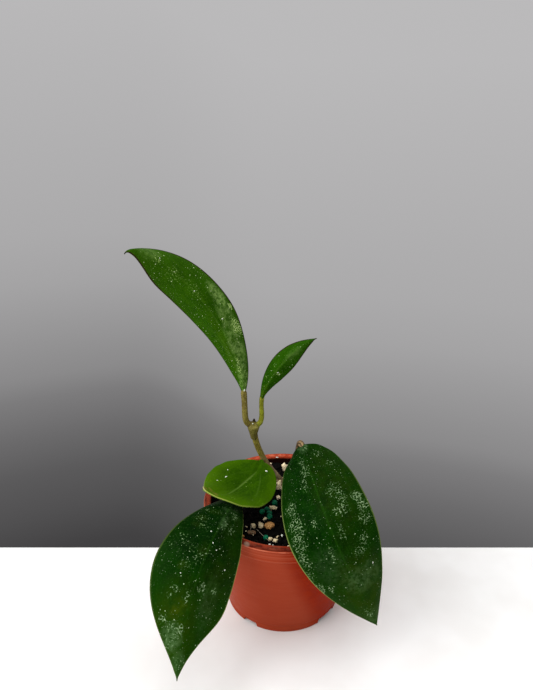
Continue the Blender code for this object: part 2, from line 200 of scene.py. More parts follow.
# The upper joint widens upwards, and the bud on it narrows: height and radius.
JOINT_PLACE = (-17.0, 12.0)
JOINT = ((97.5, 1.6), (100, 2.05), (102, 2.7), (104, 3.25), (105.2, 3.5), (105.8, 3.4), (106.1, 2.8))
JOINT_STEPS = 14
BUD = ((0, 1.2), (3.0, 1.1), (4.4, 0.8), (5.8, 0.3))
BUD_STEPS = 10
BUD_LEAN = (0.02, -0.05, 1.0)
# Above this height the two upper stalks leave the joint, and the right leaf's stalk curls over.
CURL_HEIGHT = 90.0
STALK_STEPS = 60
INTO_BLADE_STEPS = 8
ROD_SIDES = 20
STEM_VOXEL = 0.3
# How many points of the branches' lines colour a point of the skin.
NEAREST_POINTS = 28
# How far from its start each of the three lower stalks has its dark ring, and the ring's width.
RING_RUN, RING_WIDTH = 1.9, 0.35
# A direction that no branch follows, from which the turn round a branch is measured.
ASIDE = (0.31, 0.95, 0.02)

# The five leaves
# mid: the midrib's Bezier handles, from the stalk to the tip.
# up: where the upper face looks, at the base and at the tip.
# outline: powers that round the base and draw out the tip, and where the widest place lies.
# half: the greatest half width.
# point: how far the tip is drawn out.
# fuller: where an edge swells or draws in, each as side, amount, place along and reach.
# fold: how far each half sinks from the midrib in degrees, and how much more at its edge.
# veins: pale main veins, each as strength and four places on the blade.
# splashes: where the pale net of flecks lies, each as across, along, half width, half length and strength.
# painted_sheens, stains and painted_shades: where a grey painted sheen, a brown stain or a patch of painted
# shade lies, in the same way.
# specks: raised white specks, each as across, along, length and width.
# rims: how pale the rim of each half is at the four places along it in RIM_PLACES.
MIDRIB = (1.0, ((0, 0), (0, 0.33), (0, 0.67), (0, 1)))
LEAVES = {
    "leaf_right": {
        "mid": ((9.4, 3, 98.6), (15.5, -26.5, 92.7), (14, -70.5, 104), (46.6, -54, 27)),
        "up": ((-0.27, -0.55, 0.8), (-0.1, -0.7, 0.6)),
        "outline": (0.40, 1.08, 0.88),
        "half": 24.0,
        "point": 0.25,
        "fuller": (
            (-1, 0.05, 0.18, 0.13), (-1, 0.1, 0.0, 0.02), (-1, 0.03, 0.07, 0.04), (1, -0.2, 0.02, 0.03),
        ),
        "fold": (6, 6, 15),
        "veins": (MIDRIB,),
        "splashes": (
            (0.18, 0.10, 2.0, 4.0, 0.6), (0.15, 0.17, 2.4, 5.0, 0.66), (0.24, 0.24, 2.0, 5.0, 0.5),
            (0.72, 0.315, 3.4, 5.0, 0.62), (0.69, 0.41, 4.2, 6.5, 0.74), (0.76, 0.48, 3.8, 6.0, 0.68),
            (0.80, 0.56, 3.0, 5.5, 0.66), (0.88, 0.64, 2.0, 4.5, 0.5), (0.90, 0.71, 2.0, 3.4, 0.75),
            (0.65, 0.72, 1.6, 2.2, 0.7), (-0.38, 0.32, 3.6, 4.6, 0.65), (-0.46, 0.36, 3.0, 4.4, 0.6),
            (-0.34, 0.41, 4.0, 3.0, 0.6), (-0.80, 0.37, 3.0, 4.0, 0.8), (-0.84, 0.42, 3.2, 4.0, 0.8),
            (-0.78, 0.48, 3.6, 3.6, 0.75), (-0.43, 0.08, 3.2, 2.6, 0.55), (-0.65, 0.15, 2.4, 2.6, 0.5),
            (0.27, 0.43, 1.5, 2.6, 0.6), (-0.18, 0.50, 2.0, 3.6, 0.55), (0.18, 0.56, 1.6, 4.2, 0.5),
            (-0.58, 0.57, 3.0, 2.8, 0.6), (-0.43, 0.60, 4.6, 2.8, 0.5), (0.05, 0.90, 2.6, 3.4, 0.6),
            (-0.10, 0.03, 1.6, 2.2, 0.6),
        ),
        "painted_sheens": (
            (-0.18, 0.72, 7.0, 6.0, 0.5), (-0.55, 0.72, 4.0, 6.0, 0.4), (0.35, 0.62, 7.0, 9.0, 0.2),
            (-0.5, 0.95, 4.0, 6.0, 0.45), (0.0, 0.02, 2.6, 3.4, 0.7),
        ),
        # This speck stands where the leaf shows a glint, and its white is partly a painted highlight.
        "specks": ((-0.65, 0.69, 1.1, 0.6),),
        "stains": ((-0.45, 0.30, 11, 30, 0.16), (-0.30, 0.80, 12, 22, 0.35), (0.4, 0.95, 6, 10, 0.3)),
        "rims": ((0.1, 0.35, 0.5, 0.5), (0.3, 0.6, 0.9, 0.8)),
    },
    "leaf_lower_left": {
        "mid": ((-24, -5, 72.3), (-30.3, -57, 99.7), (-49.8, -67, 61), (-49.8, -92, 34.3)),
        "up": ((0.73, 0.7, 0.9), (0.22, -1.1, 0.4)),
        "outline": (0.93, 1.6, 1.28),
        "half": 22.6,
        "point": 0.5,
        "fuller": ((-1, 0.12, 0.77, 0.1), (1, 0.02, 0.6, 0.3)),
        "fold": (2, 18.6, 15),
        "veins": (MIDRIB,),
        "splashes": (
            (0.52, 0.30, 4.0, 1.8, 0.36), (0.60, 0.36, 4.0, 1.8, 0.4), (0.40, 0.40, 4.0, 1.4, 0.3),
            (0.68, 0.47, 2.6, 1.4, 0.35), (0.57, 0.49, 3.0, 1.4, 0.35), (0.77, 0.52, 2.2, 1.4, 0.4),
            (0.32, 0.50, 2.4, 2.0, 0.4), (0.52, 0.54, 2.2, 1.6, 0.35), (0.12, 0.53, 3.0, 3.0, 0.35),
            (-0.02, 0.49, 2.6, 2.6, 0.35), (0.35, 0.57, 2.6, 1.8, 0.35), (-0.13, 0.35, 1.6, 3.8, 0.7),
            (-0.42, 0.26, 2.0, 4.0, 0.55), (-0.43, 0.34, 1.8, 3.6, 0.55), (-0.17, 0.64, 2.6, 2.6, 0.62),
            (0.40, 0.67, 2.2, 1.6, 0.55), (0.10, 0.69, 1.2, 3.0, 0.75), (0.50, 0.70, 1.4, 1.2, 0.7),
            (-0.50, 0.64, 2.0, 1.8, 0.7), (0.70, 0.79, 2.4, 2.0, 0.7), (0.15, 0.81, 2.4, 3.0, 0.75),
            (0.40, 0.83, 3.6, 4.4, 0.62), (0.55, 0.86, 3.0, 4.4, 0.62), (-0.15, 0.95, 2.0, 4.5, 0.4),
        ),
        "painted_sheens": (
            (0.10, 0.20, 2.4, 9.0, 0.32), (-0.32, 0.22, 1.6, 7.0, 0.25), (-0.08, 0.34, 1.8, 4.0, 0.5),
            (0.47, 0.85, 4.2, 5.0, 0.75), (0.1, 0.95, 3.0, 6.0, 0.4), (-0.45, 0.70, 4.0, 12.0, 0.2),
        ),
        "specks": (
            (0.13, 0.41, 0.75, 0.7), (-0.05, 0.45, 0.9, 0.5), (-0.20, 0.47, 0.75, 0.5),
            (-0.60, 0.53, 0.8, 0.65), (0.37, 0.61, 0.6, 0.5),
        ),
        # The last two stains are painted light: they lighten the half of the blade that lies to the right.
        "stains": (
            (0.22, 0.73, 3.5, 3.5, 0.8), (0.32, 0.76, 2.5, 2.5, 0.8), (0.35, 0.80, 10, 16, 0.3),
            (0.63, 0.36, 3, 2, 0.25), (0.52, 0.40, 3, 1.4, 0.25), (0.42, 0.30, 4, 2, 0.2),
            (0.35, 0.58, 2.6, 2, 0.25), (0.08, 0.49, 2.5, 3.5, 0.25), (-0.55, 0.60, 9, 24, 0.18),
            (-0.50, 0.34, 7, 12, 0.12),
        ),
        # Dark patches of painted shade on the blade.
        "painted_shades": ((0.45, 0.38, 13, 15, 0.5), (-0.1, 0.45, 6, 12, 0.3)),
        "rims": ((0.8, 0.9, 0.9, 0.6), (0.1, 0.15, 0.2, 0.3)),
    },
    "leaf_mid_left": {
        "mid": ((-12.7, 8, 84.8), (-17.4, -5.4, 74.7), (-39, -27, 85.2), (-42, -26, 91.4)),
        "up": ((0, -0.6, 0.9), (-0.26, 0, 0.9)),
        "outline": (0.53, 1.02, 0.91),
        "half": 18.3,
        "point": 0.2,
        "fold": (-11, -25, 15),
        "veins": (
            (1.0, ((-0.05, 0.08), (0.12, 0.28), (0.04, 0.60), (-0.52, 0.83))),
            (0.45, ((-0.10, 0.09), (-0.36, 0.22), (-0.50, 0.36), (-0.78, 0.56))),
            (0.3, ((0.03, 0.10), (0.28, 0.22), (0.45, 0.34), (0.47, 0.52))),
        ),
        "splashes": (
            (-0.55, 0.71, 2.0, 1.5, 0.6), (-0.87, 0.48, 1.6, 1.6, 0.55), (0.53, 0.66, 1.8, 1.0, 0.6),
        ),
        "specks": (
            (-0.47, 0.09, 1.3, 0.9), (0.47, 0.52, 1.7, 0.7), (0.67, 0.41, 0.7, 0.6), (0.53, 0.66, 0.9, 0.5),
        ),
        "stains": ((0.15, 0.87, 2.0, 1.0, 0.35), (-0.45, 0.88, 2.0, 1.0, 0.4), (0.55, 0.95, 1.4, 1.2, 0.6)),
        "rims": ((0.0, 0.0, 0.35, 1.0), (0.0, 0.0, 0.0, 0.5)),
    },
    "leaf_top_left": {
        "mid": ((-22.0, 9.2, 127.2), (-26.3, 10, 176.8), (-69.7, -10, 220.6), (-75.7, -10, 209)),
        "up": ((0, -0.6, 0.5), (-0.44, -0.6, 0.7)),
        "outline": (0.58, 1.21, 1.18),
        "half": 14.7,
        "point": 0.17,
        "fuller": (
            (1, 0.09, 0.38, 0.13), (-1, 0.1, 0.8, 0.12), (-1, 0.03, 0.5, 0.2), (-1, -0.22, 0.03, 0.05),
        ),
        "fold": (26, 26, 15),
        "veins": (
            MIDRIB,
            (0.8, ((-0.05, 0.04), (-0.28, 0.14), (-0.42, 0.28), (-0.46, 0.44))),
            (0.8, ((-0.02, 0.03), (-0.16, 0.12), (-0.26, 0.25), (-0.30, 0.40))),
        ),
        "splashes": (
            (0.72, 0.33, 2.8, 4.2, 1.3), (0.84, 0.30, 1.4, 2.0, 1.2), (0.90, 0.42, 1.2, 1.8, 1.3),
            (0.25, 0.41, 1.4, 1.8, 0.8), (0.10, 0.18, 1.0, 2.8, 0.9), (0.04, 0.13, 1.0, 2.6, 1.0),
            (0.05, 0.62, 2.6, 5.5, 0.4), (-0.10, 0.74, 3.6, 4.5, 0.35), (0.15, 0.84, 3.0, 2.6, 0.4),
        ),
        "painted_sheens": (
            (0.66, 0.50, 3.2, 7.0, 1.1), (0.50, 0.42, 3.4, 7.0, 0.8), (0.36, 0.26, 3.6, 12.0, 0.8),
            (0.30, 0.08, 2.8, 9.0, 0.9), (0.4, 0.88, 4.0, 5.0, 0.3),
        ),
        # The speck at the base stands where the leaf shows a glint, and its white is partly a painted
        # highlight.
        "specks": (
            (0.20, 0.83, 0.6, 0.45), (0.02, 0.61, 0.6, 0.45), (0.35, 0.012, 2.0, 1.0), (0.25, 0.41, 0.8, 0.7),
        ),
        "stains": ((-0.2, 0.3, 2, 18, 0.3),),
        "rims": ((0.4, 0.6, 0.9, 1.0), (0.8, 0.9, 0.9, 1.0)),
    },
    "leaf_top_right": {
        "mid": ((-12.2, 10.1, 123), (-10.8, 5.8, 136.3), (4.8, -3.2, 161), (15.5, -2, 163.7)),
        "up": ((0.07, -0.6, 0.6), (0.55, -0.6, 0.7)),
        "outline": (1.05, 1.11, 0.98),
        "half": 7.1,
        "point": 0.2,
        "fuller": ((1, 0.17, 0.5, 0.3),),
        "fold": (26, 26, 15),
        "veins": (MIDRIB,),
        "splashes": ((0.30, 0.40, 1.8, 1.4, 0.95), (-0.55, 0.27, 0.8, 1.2, 0.6)),
        "painted_sheens": ((0.10, 0.70, 2.0, 6.0, 0.2),),
        "specks": ((0.42, 0.40, 0.6, 0.45), (0.20, 0.42, 0.9, 0.5)),
        "stains": ((0, 0.05, 3, 6, 0.8),),
        "rims": ((0.3, 0.6, 0.8, 1.0), (0.8, 0.9, 0.9, 1.0)),
    },
}
RIM_PLACES = (0, 0.35, 0.7, 1)
# Thickness of a blade at its midrib and at its edge, and the rib underneath.
BLADE = 1.0
EDGE_BLADE = 0.7
RIB_DEPTH = 1.3
RIB_WIDTH = 0.9
# Half the width of a blade's base and tip, and how suddenly its point is drawn out.
BASE_HALF = 1.5
TIP_HALF = 0.15
POINT_POWER = 30
# Where half the width is less than this, towards the tip, the blade is thinner too.
THIN_HALF = 1.7
# Waves along the edges, and slow swells all over the face.
RIPPLE = 0.22
RIPPLES = 5
SWELL = 0.16
# The grid of a blade's skin, the steps of its rounded rim and the turns of its closed ends.
LEAF_ROWS = 190
LEAF_COLUMNS = 91
RIM_STEPS = 5
CAP_TURNS = (0.35, 0.7, 1.05, 1.35)
# The sunken midrib and side veins of the upper face.
CREASE_SOFTNESS = 0.05
GROOVE_DEPTH, GROOVE_WIDTH = 0.16, 0.8
SIDE_VEIN_SPACING = 6.5
SIDE_VEIN_SLOPE = 0.75
SIDE_VEIN_DEPTH, SIDE_VEIN_WIDTH = 0.07, 0.55
MAIN_VEIN_STEPS = 16
# Height of a raised speck of lime.
BEAD_HEIGHT = 0.35
# How far the pattern and the swells of one leaf are shifted from the next one's.
LEAF_PHASE = 1.3

# Colours and finish of each leaf. Colours are as a screen shows them, and each share says how much of its
# colour shows.
DARK_BLADE = {
    "deep": (2, 27, 0), "main": (4, 38, 0), "light": (13, 52, 0),
    "margin": (13, 48, 0), "margin_share": 0.4, "far": (26, 66, 0), "far_share": 0.5,
    "vein": (32, 74, 8), "vein_share": 0.22, "main_vein_share": 0.34, "stain": (50, 66, 2),
    "fleck": (164, 186, 148), "fleck_dull": (94, 124, 74), "fleck_size": 1.5, "halo": (48, 82, 32),
    "dot": (170, 194, 150), "dots": 0.18, "painted_sheen": (90, 122, 76), "rim": (126, 144, 74), "rim_from": 0.978,
    "tip": (52, 72, 26), "tip_from": 0.975, "roughness": 0.4, "gloss": 0.012,
    "under": (58, 88, 32), "under_light": (76, 106, 42), "under_vein": (108, 132, 64),
}
YELLOW_BLADE = {
    **DARK_BLADE,
    "deep": (30, 62, 0), "main": (40, 74, 0), "light": (56, 92, 2),
    "margin": (62, 98, 0), "margin_share": 0.65, "far": (74, 112, 0), "far_share": 0.75,
    "vein": (96, 126, 50), "vein_share": 0.12, "main_vein_share": 0.6, "stain": (140, 116, 50),
    "fleck": (120, 152, 50), "fleck_dull": (80, 120, 20), "halo": (70, 108, 10),
    "dot": (160, 188, 100), "dots": 0.08, "rim": (160, 162, 78), "rim_from": 0.976,
    "tip": (196, 184, 130), "tip_from": 0.965,
    "under": (80, 114, 28), "under_light": (96, 130, 38), "under_vein": (130, 152, 70),
}
GREEN_BLADE = {
    **DARK_BLADE,
    "deep": (30, 68, 0), "main": (38, 80, 0), "light": (56, 96, 2),
    "margin": (46, 84, 2), "margin_share": 0.3, "far": (46, 80, 6), "far_share": 0.4,
    "vein": (80, 118, 34), "vein_share": 0.14, "main_vein_share": 0.28, "stain": (60, 90, 4),
    "fleck": (198, 218, 150), "fleck_dull": (124, 160, 66), "fleck_size": 1.3, "halo": (90, 126, 40),
    "dot": (196, 214, 160), "dots": 0.34, "painted_sheen": (146, 180, 96), "rim": (40, 26, 12), "rim_from": 0.968,
    "tip": (36, 28, 20),
}
FRESH_BLADE = {
    **GREEN_BLADE,
    "deep": (22, 60, 0), "main": (30, 70, 0), "light": (46, 90, 6),
    "margin": (36, 78, 2), "dots": 0.14, "far": (36, 76, 4), "roughness": 0.42,
}
TONES = {
    "leaf_right": ("right", DARK_BLADE, "dark_leaf"),
    "leaf_lower_left": ("lower left", DARK_BLADE, "dark_leaf"),
    "leaf_mid_left": ("middle", YELLOW_BLADE, "yellow_green_leaf"),
    "leaf_top_left": ("tall", GREEN_BLADE, "mid_green_leaf"),
    "leaf_top_right": ("young", FRESH_BLADE, "fresh_green_leaf"),
}

# Camera: its place and its pitch. The focal length is in pixels of a picture of this height.
CAMERA_PLACE = (-9.69, -291.9, 278.8)
CAMERA_PITCH = 67.72
SENSOR = 36.0
FOCAL_LENGTH, PICTURE_HEIGHT = 620, 690

# Stage. The surround's greys by height, from straight down at -1 to straight up at 1, and how far they are
# moved down on the right.
SURROUND_STEP = 0.1
SURROUND_GREYS = (
    (-0.62, 66), (-0.575, 81), (-0.527, 91), (-0.48, 107), (-0.43, 124), (-0.40, 138),
    (-0.366, 145), (-0.27, 164), (-0.2, 171), (0.14, 186),
)
FLOOR_BACK = 37.0
FLOOR_REACH = 1500.0
FLOOR_THICKNESS = 30.0
FLOOR_EDGE = 1.5
FLOOR_LEVEL = -0.02
# Each light: place, what it looks at, width in metres and power.
LIGHTS = {
    "top light": ((-120, -60, 1300), (0, 0, 60), 1.3, 8.0),
    "key light": ((-850, -500, 900), (0, 0, 80), 0.9, 10.6),
    "side light": ((900, 100, 700), (0, 0, 80), 0.8, 0.6),
}


def to_world(points):
    """Millimetres in the pot's frame, as metres in the model's frame."""
    return np.asarray(points, float) * MM + POT_AXIS


def shade(red, green, blue):
    """A colour as a screen shows it, from 0 to 255, as the light values that a shader takes."""
    values = []
    for part in (red, green, blue):
        share = part / 255
        values.append(share / 12.92 if share <= 0.04045 else ((share + 0.055) / 1.055) ** 2.4)
    return (*values, 1.0)


# Node helpers


class Wire:
    """One output of a shader node. Sums, products and the like of wires add Math nodes."""

    def __init__(self, socket):
        self.socket = socket
        self.tree = socket.id_data

    def maths(self, operation, second=0.0, turned=False):
        values = {0: second, 1: self} if turned else {0: self, 1: second}
        return add("ShaderNodeMath", values, operation=operation)(0)

    def __add__(self, other):
        return self.maths("ADD", other)

    def __mul__(self, other):
        return self.maths("MULTIPLY", other)

    def __sub__(self, other):
        return self.maths("SUBTRACT", other)

    def __rsub__(self, other):
        return self.maths("SUBTRACT", other, turned=True)

    def __truediv__(self, other):
        return self.maths("DIVIDE", other)

    def __rtruediv__(self, other):
        return self.maths("DIVIDE", other, turned=True)

    def __lt__(self, other):
        return self.maths("LESS_THAN", other)

    def __gt__(self, other):
        return self.maths("GREATER_THAN", other)

    __radd__ = __add__
    __rmul__ = __mul__


def add(kind, values, tree=None, **settings):
    """A new node with its inputs set or wired by name or number. Gives a function that finds its outputs."""
    tree = tree or next(value.tree for value in values.values() if isinstance(value, Wire))
    made = tree.nodes.new(kind)
    for key, value in settings.items():
        setattr(made, key, value)
    for key, value in values.items():
        if isinstance(value, Wire):
            tree.links.new(value.socket, made.inputs[key])
        else:
            made.inputs[key].default_value = value
    return lambda key: Wire(made.outputs[key])


def ease(value, low, high, start=0.0, end=1.0):
    """The value, eased from start to end between low and high."""
    limits = {"Value": value, "From Min": low, "From Max": high, "To Min": start, "To Max": end}
    return add("ShaderNodeMapRange", limits, interpolation_type="SMOOTHSTEP")("Result")


def mix(share, first, second, mode="MIX"):
    return add("ShaderNodeMix", {0: share, 6: first, 7: second}, data_type="RGBA", blend_type=mode)(2)


def layered(skin, *layers):
    """The skin under layers, each a share and a colour."""
    for share, tint in layers:
        skin = mix(share, skin, tint)
    return skin


def grain(place, scale, detail=3.0, roughness=0.55):
    values = {"Vector": place, "Scale": scale, "Detail": detail, "Roughness": roughness}
    return add("ShaderNodeTexNoise", values)(0)


def vector_maths(operation, first, second, output="Vector"):
    return add("ShaderNodeVectorMath", {0: first, 1: second}, operation=operation)(output)


def stretched(place, factors):
    return vector_maths("MULTIPLY", place, factors)


def warped(place, scale, reach):
    """The place, pushed about by noise of this scale by up to half this reach."""
    push = add("ShaderNodeTexNoise", {"Vector": place, "Scale": scale, "Detail": 1.0})("Color")
    return add("ShaderNodeVectorMath", {0: push, 1: (reach,) * 3, 2: place}, operation="MULTIPLY_ADD")(0)


def parts(vector):
    """The three parts of a vector."""
    cut = add("ShaderNodeSeparateXYZ", {0: vector})
    return cut(0), cut(1), cut(2)


def attribute(tree, name, output="Vector"):
    return add("ShaderNodeAttribute", {}, tree, attribute_name=name)(output)


def place_in_mm(tree):
    """The point's place in the model's frame, in millimetres."""
    return stretched(add("ShaderNodeTexCoord", {}, tree)("Object"), (1 / MM,) * 3)


def new_group(name, inputs, output_names):
    """A shader node group, with a function that finds its inputs and one that wires its outputs."""
    tree = bpy.data.node_groups.new(name, "ShaderNodeTree")
    tree.interface.new_socket("Place", in_out="INPUT", socket_type="NodeSocketVector")
    for label, value in inputs.items():
        socket = tree.interface.new_socket(label, in_out="INPUT", socket_type="NodeSocketFloat")
        socket.default_value = value
    for label in output_names:
        tree.interface.new_socket(label, in_out="OUTPUT", socket_type="NodeSocketFloat")
    given, gives = tree.nodes.new("NodeGroupInput"), tree.nodes.new("NodeGroupOutput")

    def find(label):
        return Wire(given.outputs[label])

    def give(label, wire):
        tree.links.new(wire.socket, gives.inputs[label])

    return tree, find, give


def use(group, **values):
    return add("ShaderNodeGroup", values, values["Place"].tree, node_tree=group)


def new_material(name, **constants):
    """A material with a Principled shader whose named sockets hold these constants."""
    made = bpy.data.materials.new(name)
    made.use_nodes = True
    shader = made.node_tree.nodes["Principled BSDF"]
    for key, value in constants.items():
        shader.inputs[key.replace("_", " ")].default_value = value
    return made, made.node_tree, shader


def finish(shader, skin, rough=None, height=None, depth=0.0):
    """Feeds the shader its colour, its roughness and relief of this depth in millimetres."""
    fed = {"Base Color": skin, "Roughness": rough, "Normal": None}
    if height:
        relief = {"Height": height, "Distance": depth * MM, "Strength": 1.0}
        fed["Normal"] = add("ShaderNodeBump", relief)("Normal")
    for label, wire in fed.items():
        if wire:
            shader.id_data.links.new(wire.socket, shader.inputs[label])


# Effects that several materials share


def net_of_flecks():
    """Pale flecks that touch each other in a broken net, where the cover is high."""
    tree, given, give = new_group("net of flecks", {"Cover": 0.0, "Size": 1.2}, ("Mask", "Halo"))
    place = given("Place")
    scale = 1.0 / given("Size")
    cells = {"Vector": warped(place, 0.9, 0.9), "Scale": scale}
    edges = add("ShaderNodeTexVoronoi", cells, voronoi_dimensions="2D", feature="DISTANCE_TO_EDGE")
    line = ease(edges("Distance"), 0.30, 0.04)
    breaks = grain(place, scale * 1.3, 2.0, 0.6)
    broad = grain(place, scale * 0.25, 2.0, 0.6)
    patchy = given("Cover") * ease(broad, 0.32, 0.62, 0.6, 1.15)
    over = line * 0.42 + breaks * 1.1 - (1.16 - patchy * 0.42)
    give("Mask", ease(over, -0.01, 0.16))
    give("Halo", ease(over, -0.22, 0.12))
    return tree


def scattered_dots():
    """Single round dots: spacing and radius in the place's own unit, and the share of cells that hold one."""
    inputs = {"Spacing": 3.0, "Radius": 0.3, "Share": 0.3}
    tree, given, give = new_group("scattered dots", inputs, ("Mask", "Chance"))
    place = given("Place")
    scale = 1.0 / given("Spacing")
    values = {"Vector": warped(place, 1.6, 0.45), "Scale": scale}
    cells = add("ShaderNodeTexVoronoi", values, voronoi_dimensions="2D")
    chances = add("ShaderNodeSeparateColor", {0: cells("Color")})
    radius = given("Radius") * scale * ease(chances(1), 0, 1, 0.5, 1.2)
    inside = ease(cells("Distance") / radius, 1.0, 0.6)
    crowd = ease(grain(place, 0.12, 2.0, 0.5), 0.36, 0.64, 0.25, 1.7)
    held = chances(0) < given("Share") * crowd
    give("Mask", inside * held)
    give("Chance", chances(2))
    return tree


def surface_grain():
    """Fine relief and mottling: a height and a slow variation, both around one half."""
    tree, given, give = new_group("surface grain", {"Fineness": 2.0}, ("Height", "Mottling"))
    give("Height", grain(given("Place"), given("Fineness"), 4.0, 0.6))
    give("Mottling", grain(given("Place"), given("Fineness") * 0.12, 3.0, 0.6))
    return tree


def settled_dust():
    """Dust that settles where a surface looks up, in patches."""
    tree, given, give = new_group("settled dust", {"Amount": 0.3}, ("Mask",))
    _, _, rise = parts(add("ShaderNodeNewGeometry", {}, tree)("Normal"))
    patches = ease(grain(given("Place"), 0.35, 5.0, 0.7), 0.38, 0.68)
    give("Mask", patches * ease(rise, -0.1, 0.9) * given("Amount"))
    return tree


NET = net_of_flecks()
DOTS = scattered_dots()
GRAIN = surface_grain()
DUST = settled_dust()


def grained(place, fineness):
    """The relief and the mottling of a surface's grain."""
    made = use(GRAIN, Place=place, Fineness=fineness)
    return made("Height"), made("Mottling")


def dotted(place, spacing, radius, share):
    """Scattered dots, and the chance that each drew."""
    made = use(DOTS, Place=place, Spacing=spacing, Radius=radius, Share=share)
    return made("Mask"), made("Chance")


def dusty(place, amount):
    return use(DUST, Place=place, Amount=amount)("Mask")


# Materials


def blade_material(label, tone):
    """The waxy upper face of a blade."""
    name = f"{label} blade"
    made, tree, shader = new_material(name, Roughness=0.4, IOR=1.45, Specular_IOR_Level=tone["gloss"])
    place = attribute(tree, "blade_mm")
    across, along, side_vein = parts(attribute(tree, "blade_share"))
    splash, painted_sheen, main_vein = parts(attribute(tree, "blade_marks"))
    stain, pale_rim, shade_patch = parts(attribute(tree, "blade_tints"))
    across = across.maths("ABSOLUTE")

    relief, mottling = grained(place, 1.1)
    streaks = grain(stretched(place, (0.5, 0.14, 1.0)), 1.0, 4.0, 0.6)
    blotches = ease(grain(place, 0.2, 4.0, 0.6), 0.36, 0.6, 0.35, 1.0)
    fading = ease(along, 0.3, 0.95, tone["main_vein_share"], 0.3 * tone["main_vein_share"])
    skin = layered(
        mix(ease(mottling, 0.36, 0.66), tone["deep"], tone["main"]),
        (ease(streaks, 0.45, 0.75, 0.0, 0.5), tone["light"]),
        (ease(relief, 0.4, 0.75, 0.0, 0.3), tone["light"]),
        (ease(across, 0.45, 1.0, 0.0, tone["margin_share"]), tone["margin"]),
        (ease(along, 0.45, 1.0, 0.0, tone["far_share"]), tone["far"]),
        (stain * blotches, tone["stain"]),
        # Painted shade: dark patches where a blade lies in shade.
        (shade_patch, shade(0, 16, 0)),
        (ease(side_vein, 0.5, 1.0, 0.0, tone["vein_share"]), tone["light"]),
        (ease(main_vein, 0.1, 1.0) * fading, tone["vein"]),
    )

    net = use(NET, Place=place, Cover=splash, Size=tone["fleck_size"])
    flecks = net("Mask")
    fleck_colour = mix(ease(relief, 0.35, 0.7), tone["fleck_dull"], tone["fleck"])
    dots, dot_chance = dotted(place, 2.6, 0.25, tone["dots"])
    pins, pin_chance = dotted(place, 1.2, 0.16, tone["dots"])
    sheen_patches = painted_sheen * ease(grain(place, 0.4, 5.0, 0.7), 0.38, 0.62, 0.1, 1.0)
    skin = layered(
        skin,
        (net("Halo") * 0.5, tone["halo"]),
        (flecks * 0.78, fleck_colour),
        (pins * ease(pin_chance, 0, 1, 0.0, 0.5), tone["fleck"]),
        (dots * ease(dot_chance, 0, 1, 0.2, 1.0), tone["dot"]),
        # Painted sheen: grey patches where the leaves show soft reflections. They are rougher too.
        (sheen_patches * 0.55, tone["painted_sheen"]),
        (ease(across, tone["rim_from"], 0.998) * pale_rim, tone["rim"]),
        (ease(along, tone["tip_from"], 1.0, 0.0, 0.9), tone["tip"]),
        (dusty(place, 0.006), shade(120, 124, 100)),
    )
    rough = tone["roughness"] + sheen_patches * 0.16 + flecks * 0.08 + ease(mottling, 0.3, 0.7, -0.05, 0.06)
    pores = grain(place, 3.6, 2.0, 0.5)
    finish(shader, skin, rough, relief + pores * 0.35 + flecks * 0.3, 0.10)
    return made


def underside_material(label, tone):
    """The paler, duller underside of a blade with its raised veins."""
    made, tree, shader = new_material(f"{label} blade underside", Roughness=0.55, IOR=1.4)
    place = attribute(tree, "blade_mm")
    _, _, side_vein = parts(attribute(tree, "blade_share"))
    _, _, main_vein = parts(attribute(tree, "blade_marks"))
    relief, mottling = grained(place, 1.4)
    pins, _ = dotted(place, 1.6, 0.16, 0.3)
    skin = layered(
        mix(ease(mottling, 0.35, 0.66), tone["under"], tone["under_light"]),
        (ease(side_vein, 0.35, 1.0, 0.0, 0.4), tone["under_vein"]),
        (ease(main_vein, 0.2, 0.9, 0.0, 0.7), tone["under_vein"]),
        (pins * 0.35, tone["under_vein"]),
        (ease(relief, 0.35, 0.75, 0.0, 0.25), tone["under"]),
    )
    finish(shader, skin, ease(mottling, 0.3, 0.7, 0.5, 0.64), relief, 0.14)
    return made


def stem_material():
    """Ribbed skin with lenticels, dark rings and ribs, and painted shade where branches meet and on the sides
    that face left and right.
    """
    made, tree, shader = new_material("stem skin", Roughness=0.5, IOR=1.42, Specular_IOR_Level=0.15)
    joint_shades_and_bands, sides, _ = parts(attribute(tree, "stem_marks"))
    place = attribute(tree, "stem_place")
    relief, mottling = grained(place_in_mm(tree), 1.6)
    streaks = grain(place, 1.0, 3.0, 0.6)
    lenticels, _ = dotted(place, 1.3, 0.2, 0.25)
    skin = attribute(tree, "skin_colour", "Color")
    darker = mix(1.0, skin, shade(150, 130, 110), "MULTIPLY")
    skin = layered(
        skin,
        (ease(mottling, 0.35, 0.65, 0.0, 0.5), darker),
        (ease(streaks, 0.5, 0.72, 0.0, 0.55), darker),
        # Painted shade on the sides that face left and right, which darkens the outline seen from the front.
        (sides, shade(70, 44, 20)),
        # Painted shade in the angles where branches meet, with the dark rings and ribs of the skin.
        (joint_shades_and_bands, shade(36, 26, 12)),
        (lenticels * 0.5, shade(190, 176, 120)),
    )
    finish(shader, skin, ease(mottling, 0.3, 0.7, 0.42, 0.6), relief + streaks * 0.7, 0.16)
    return made


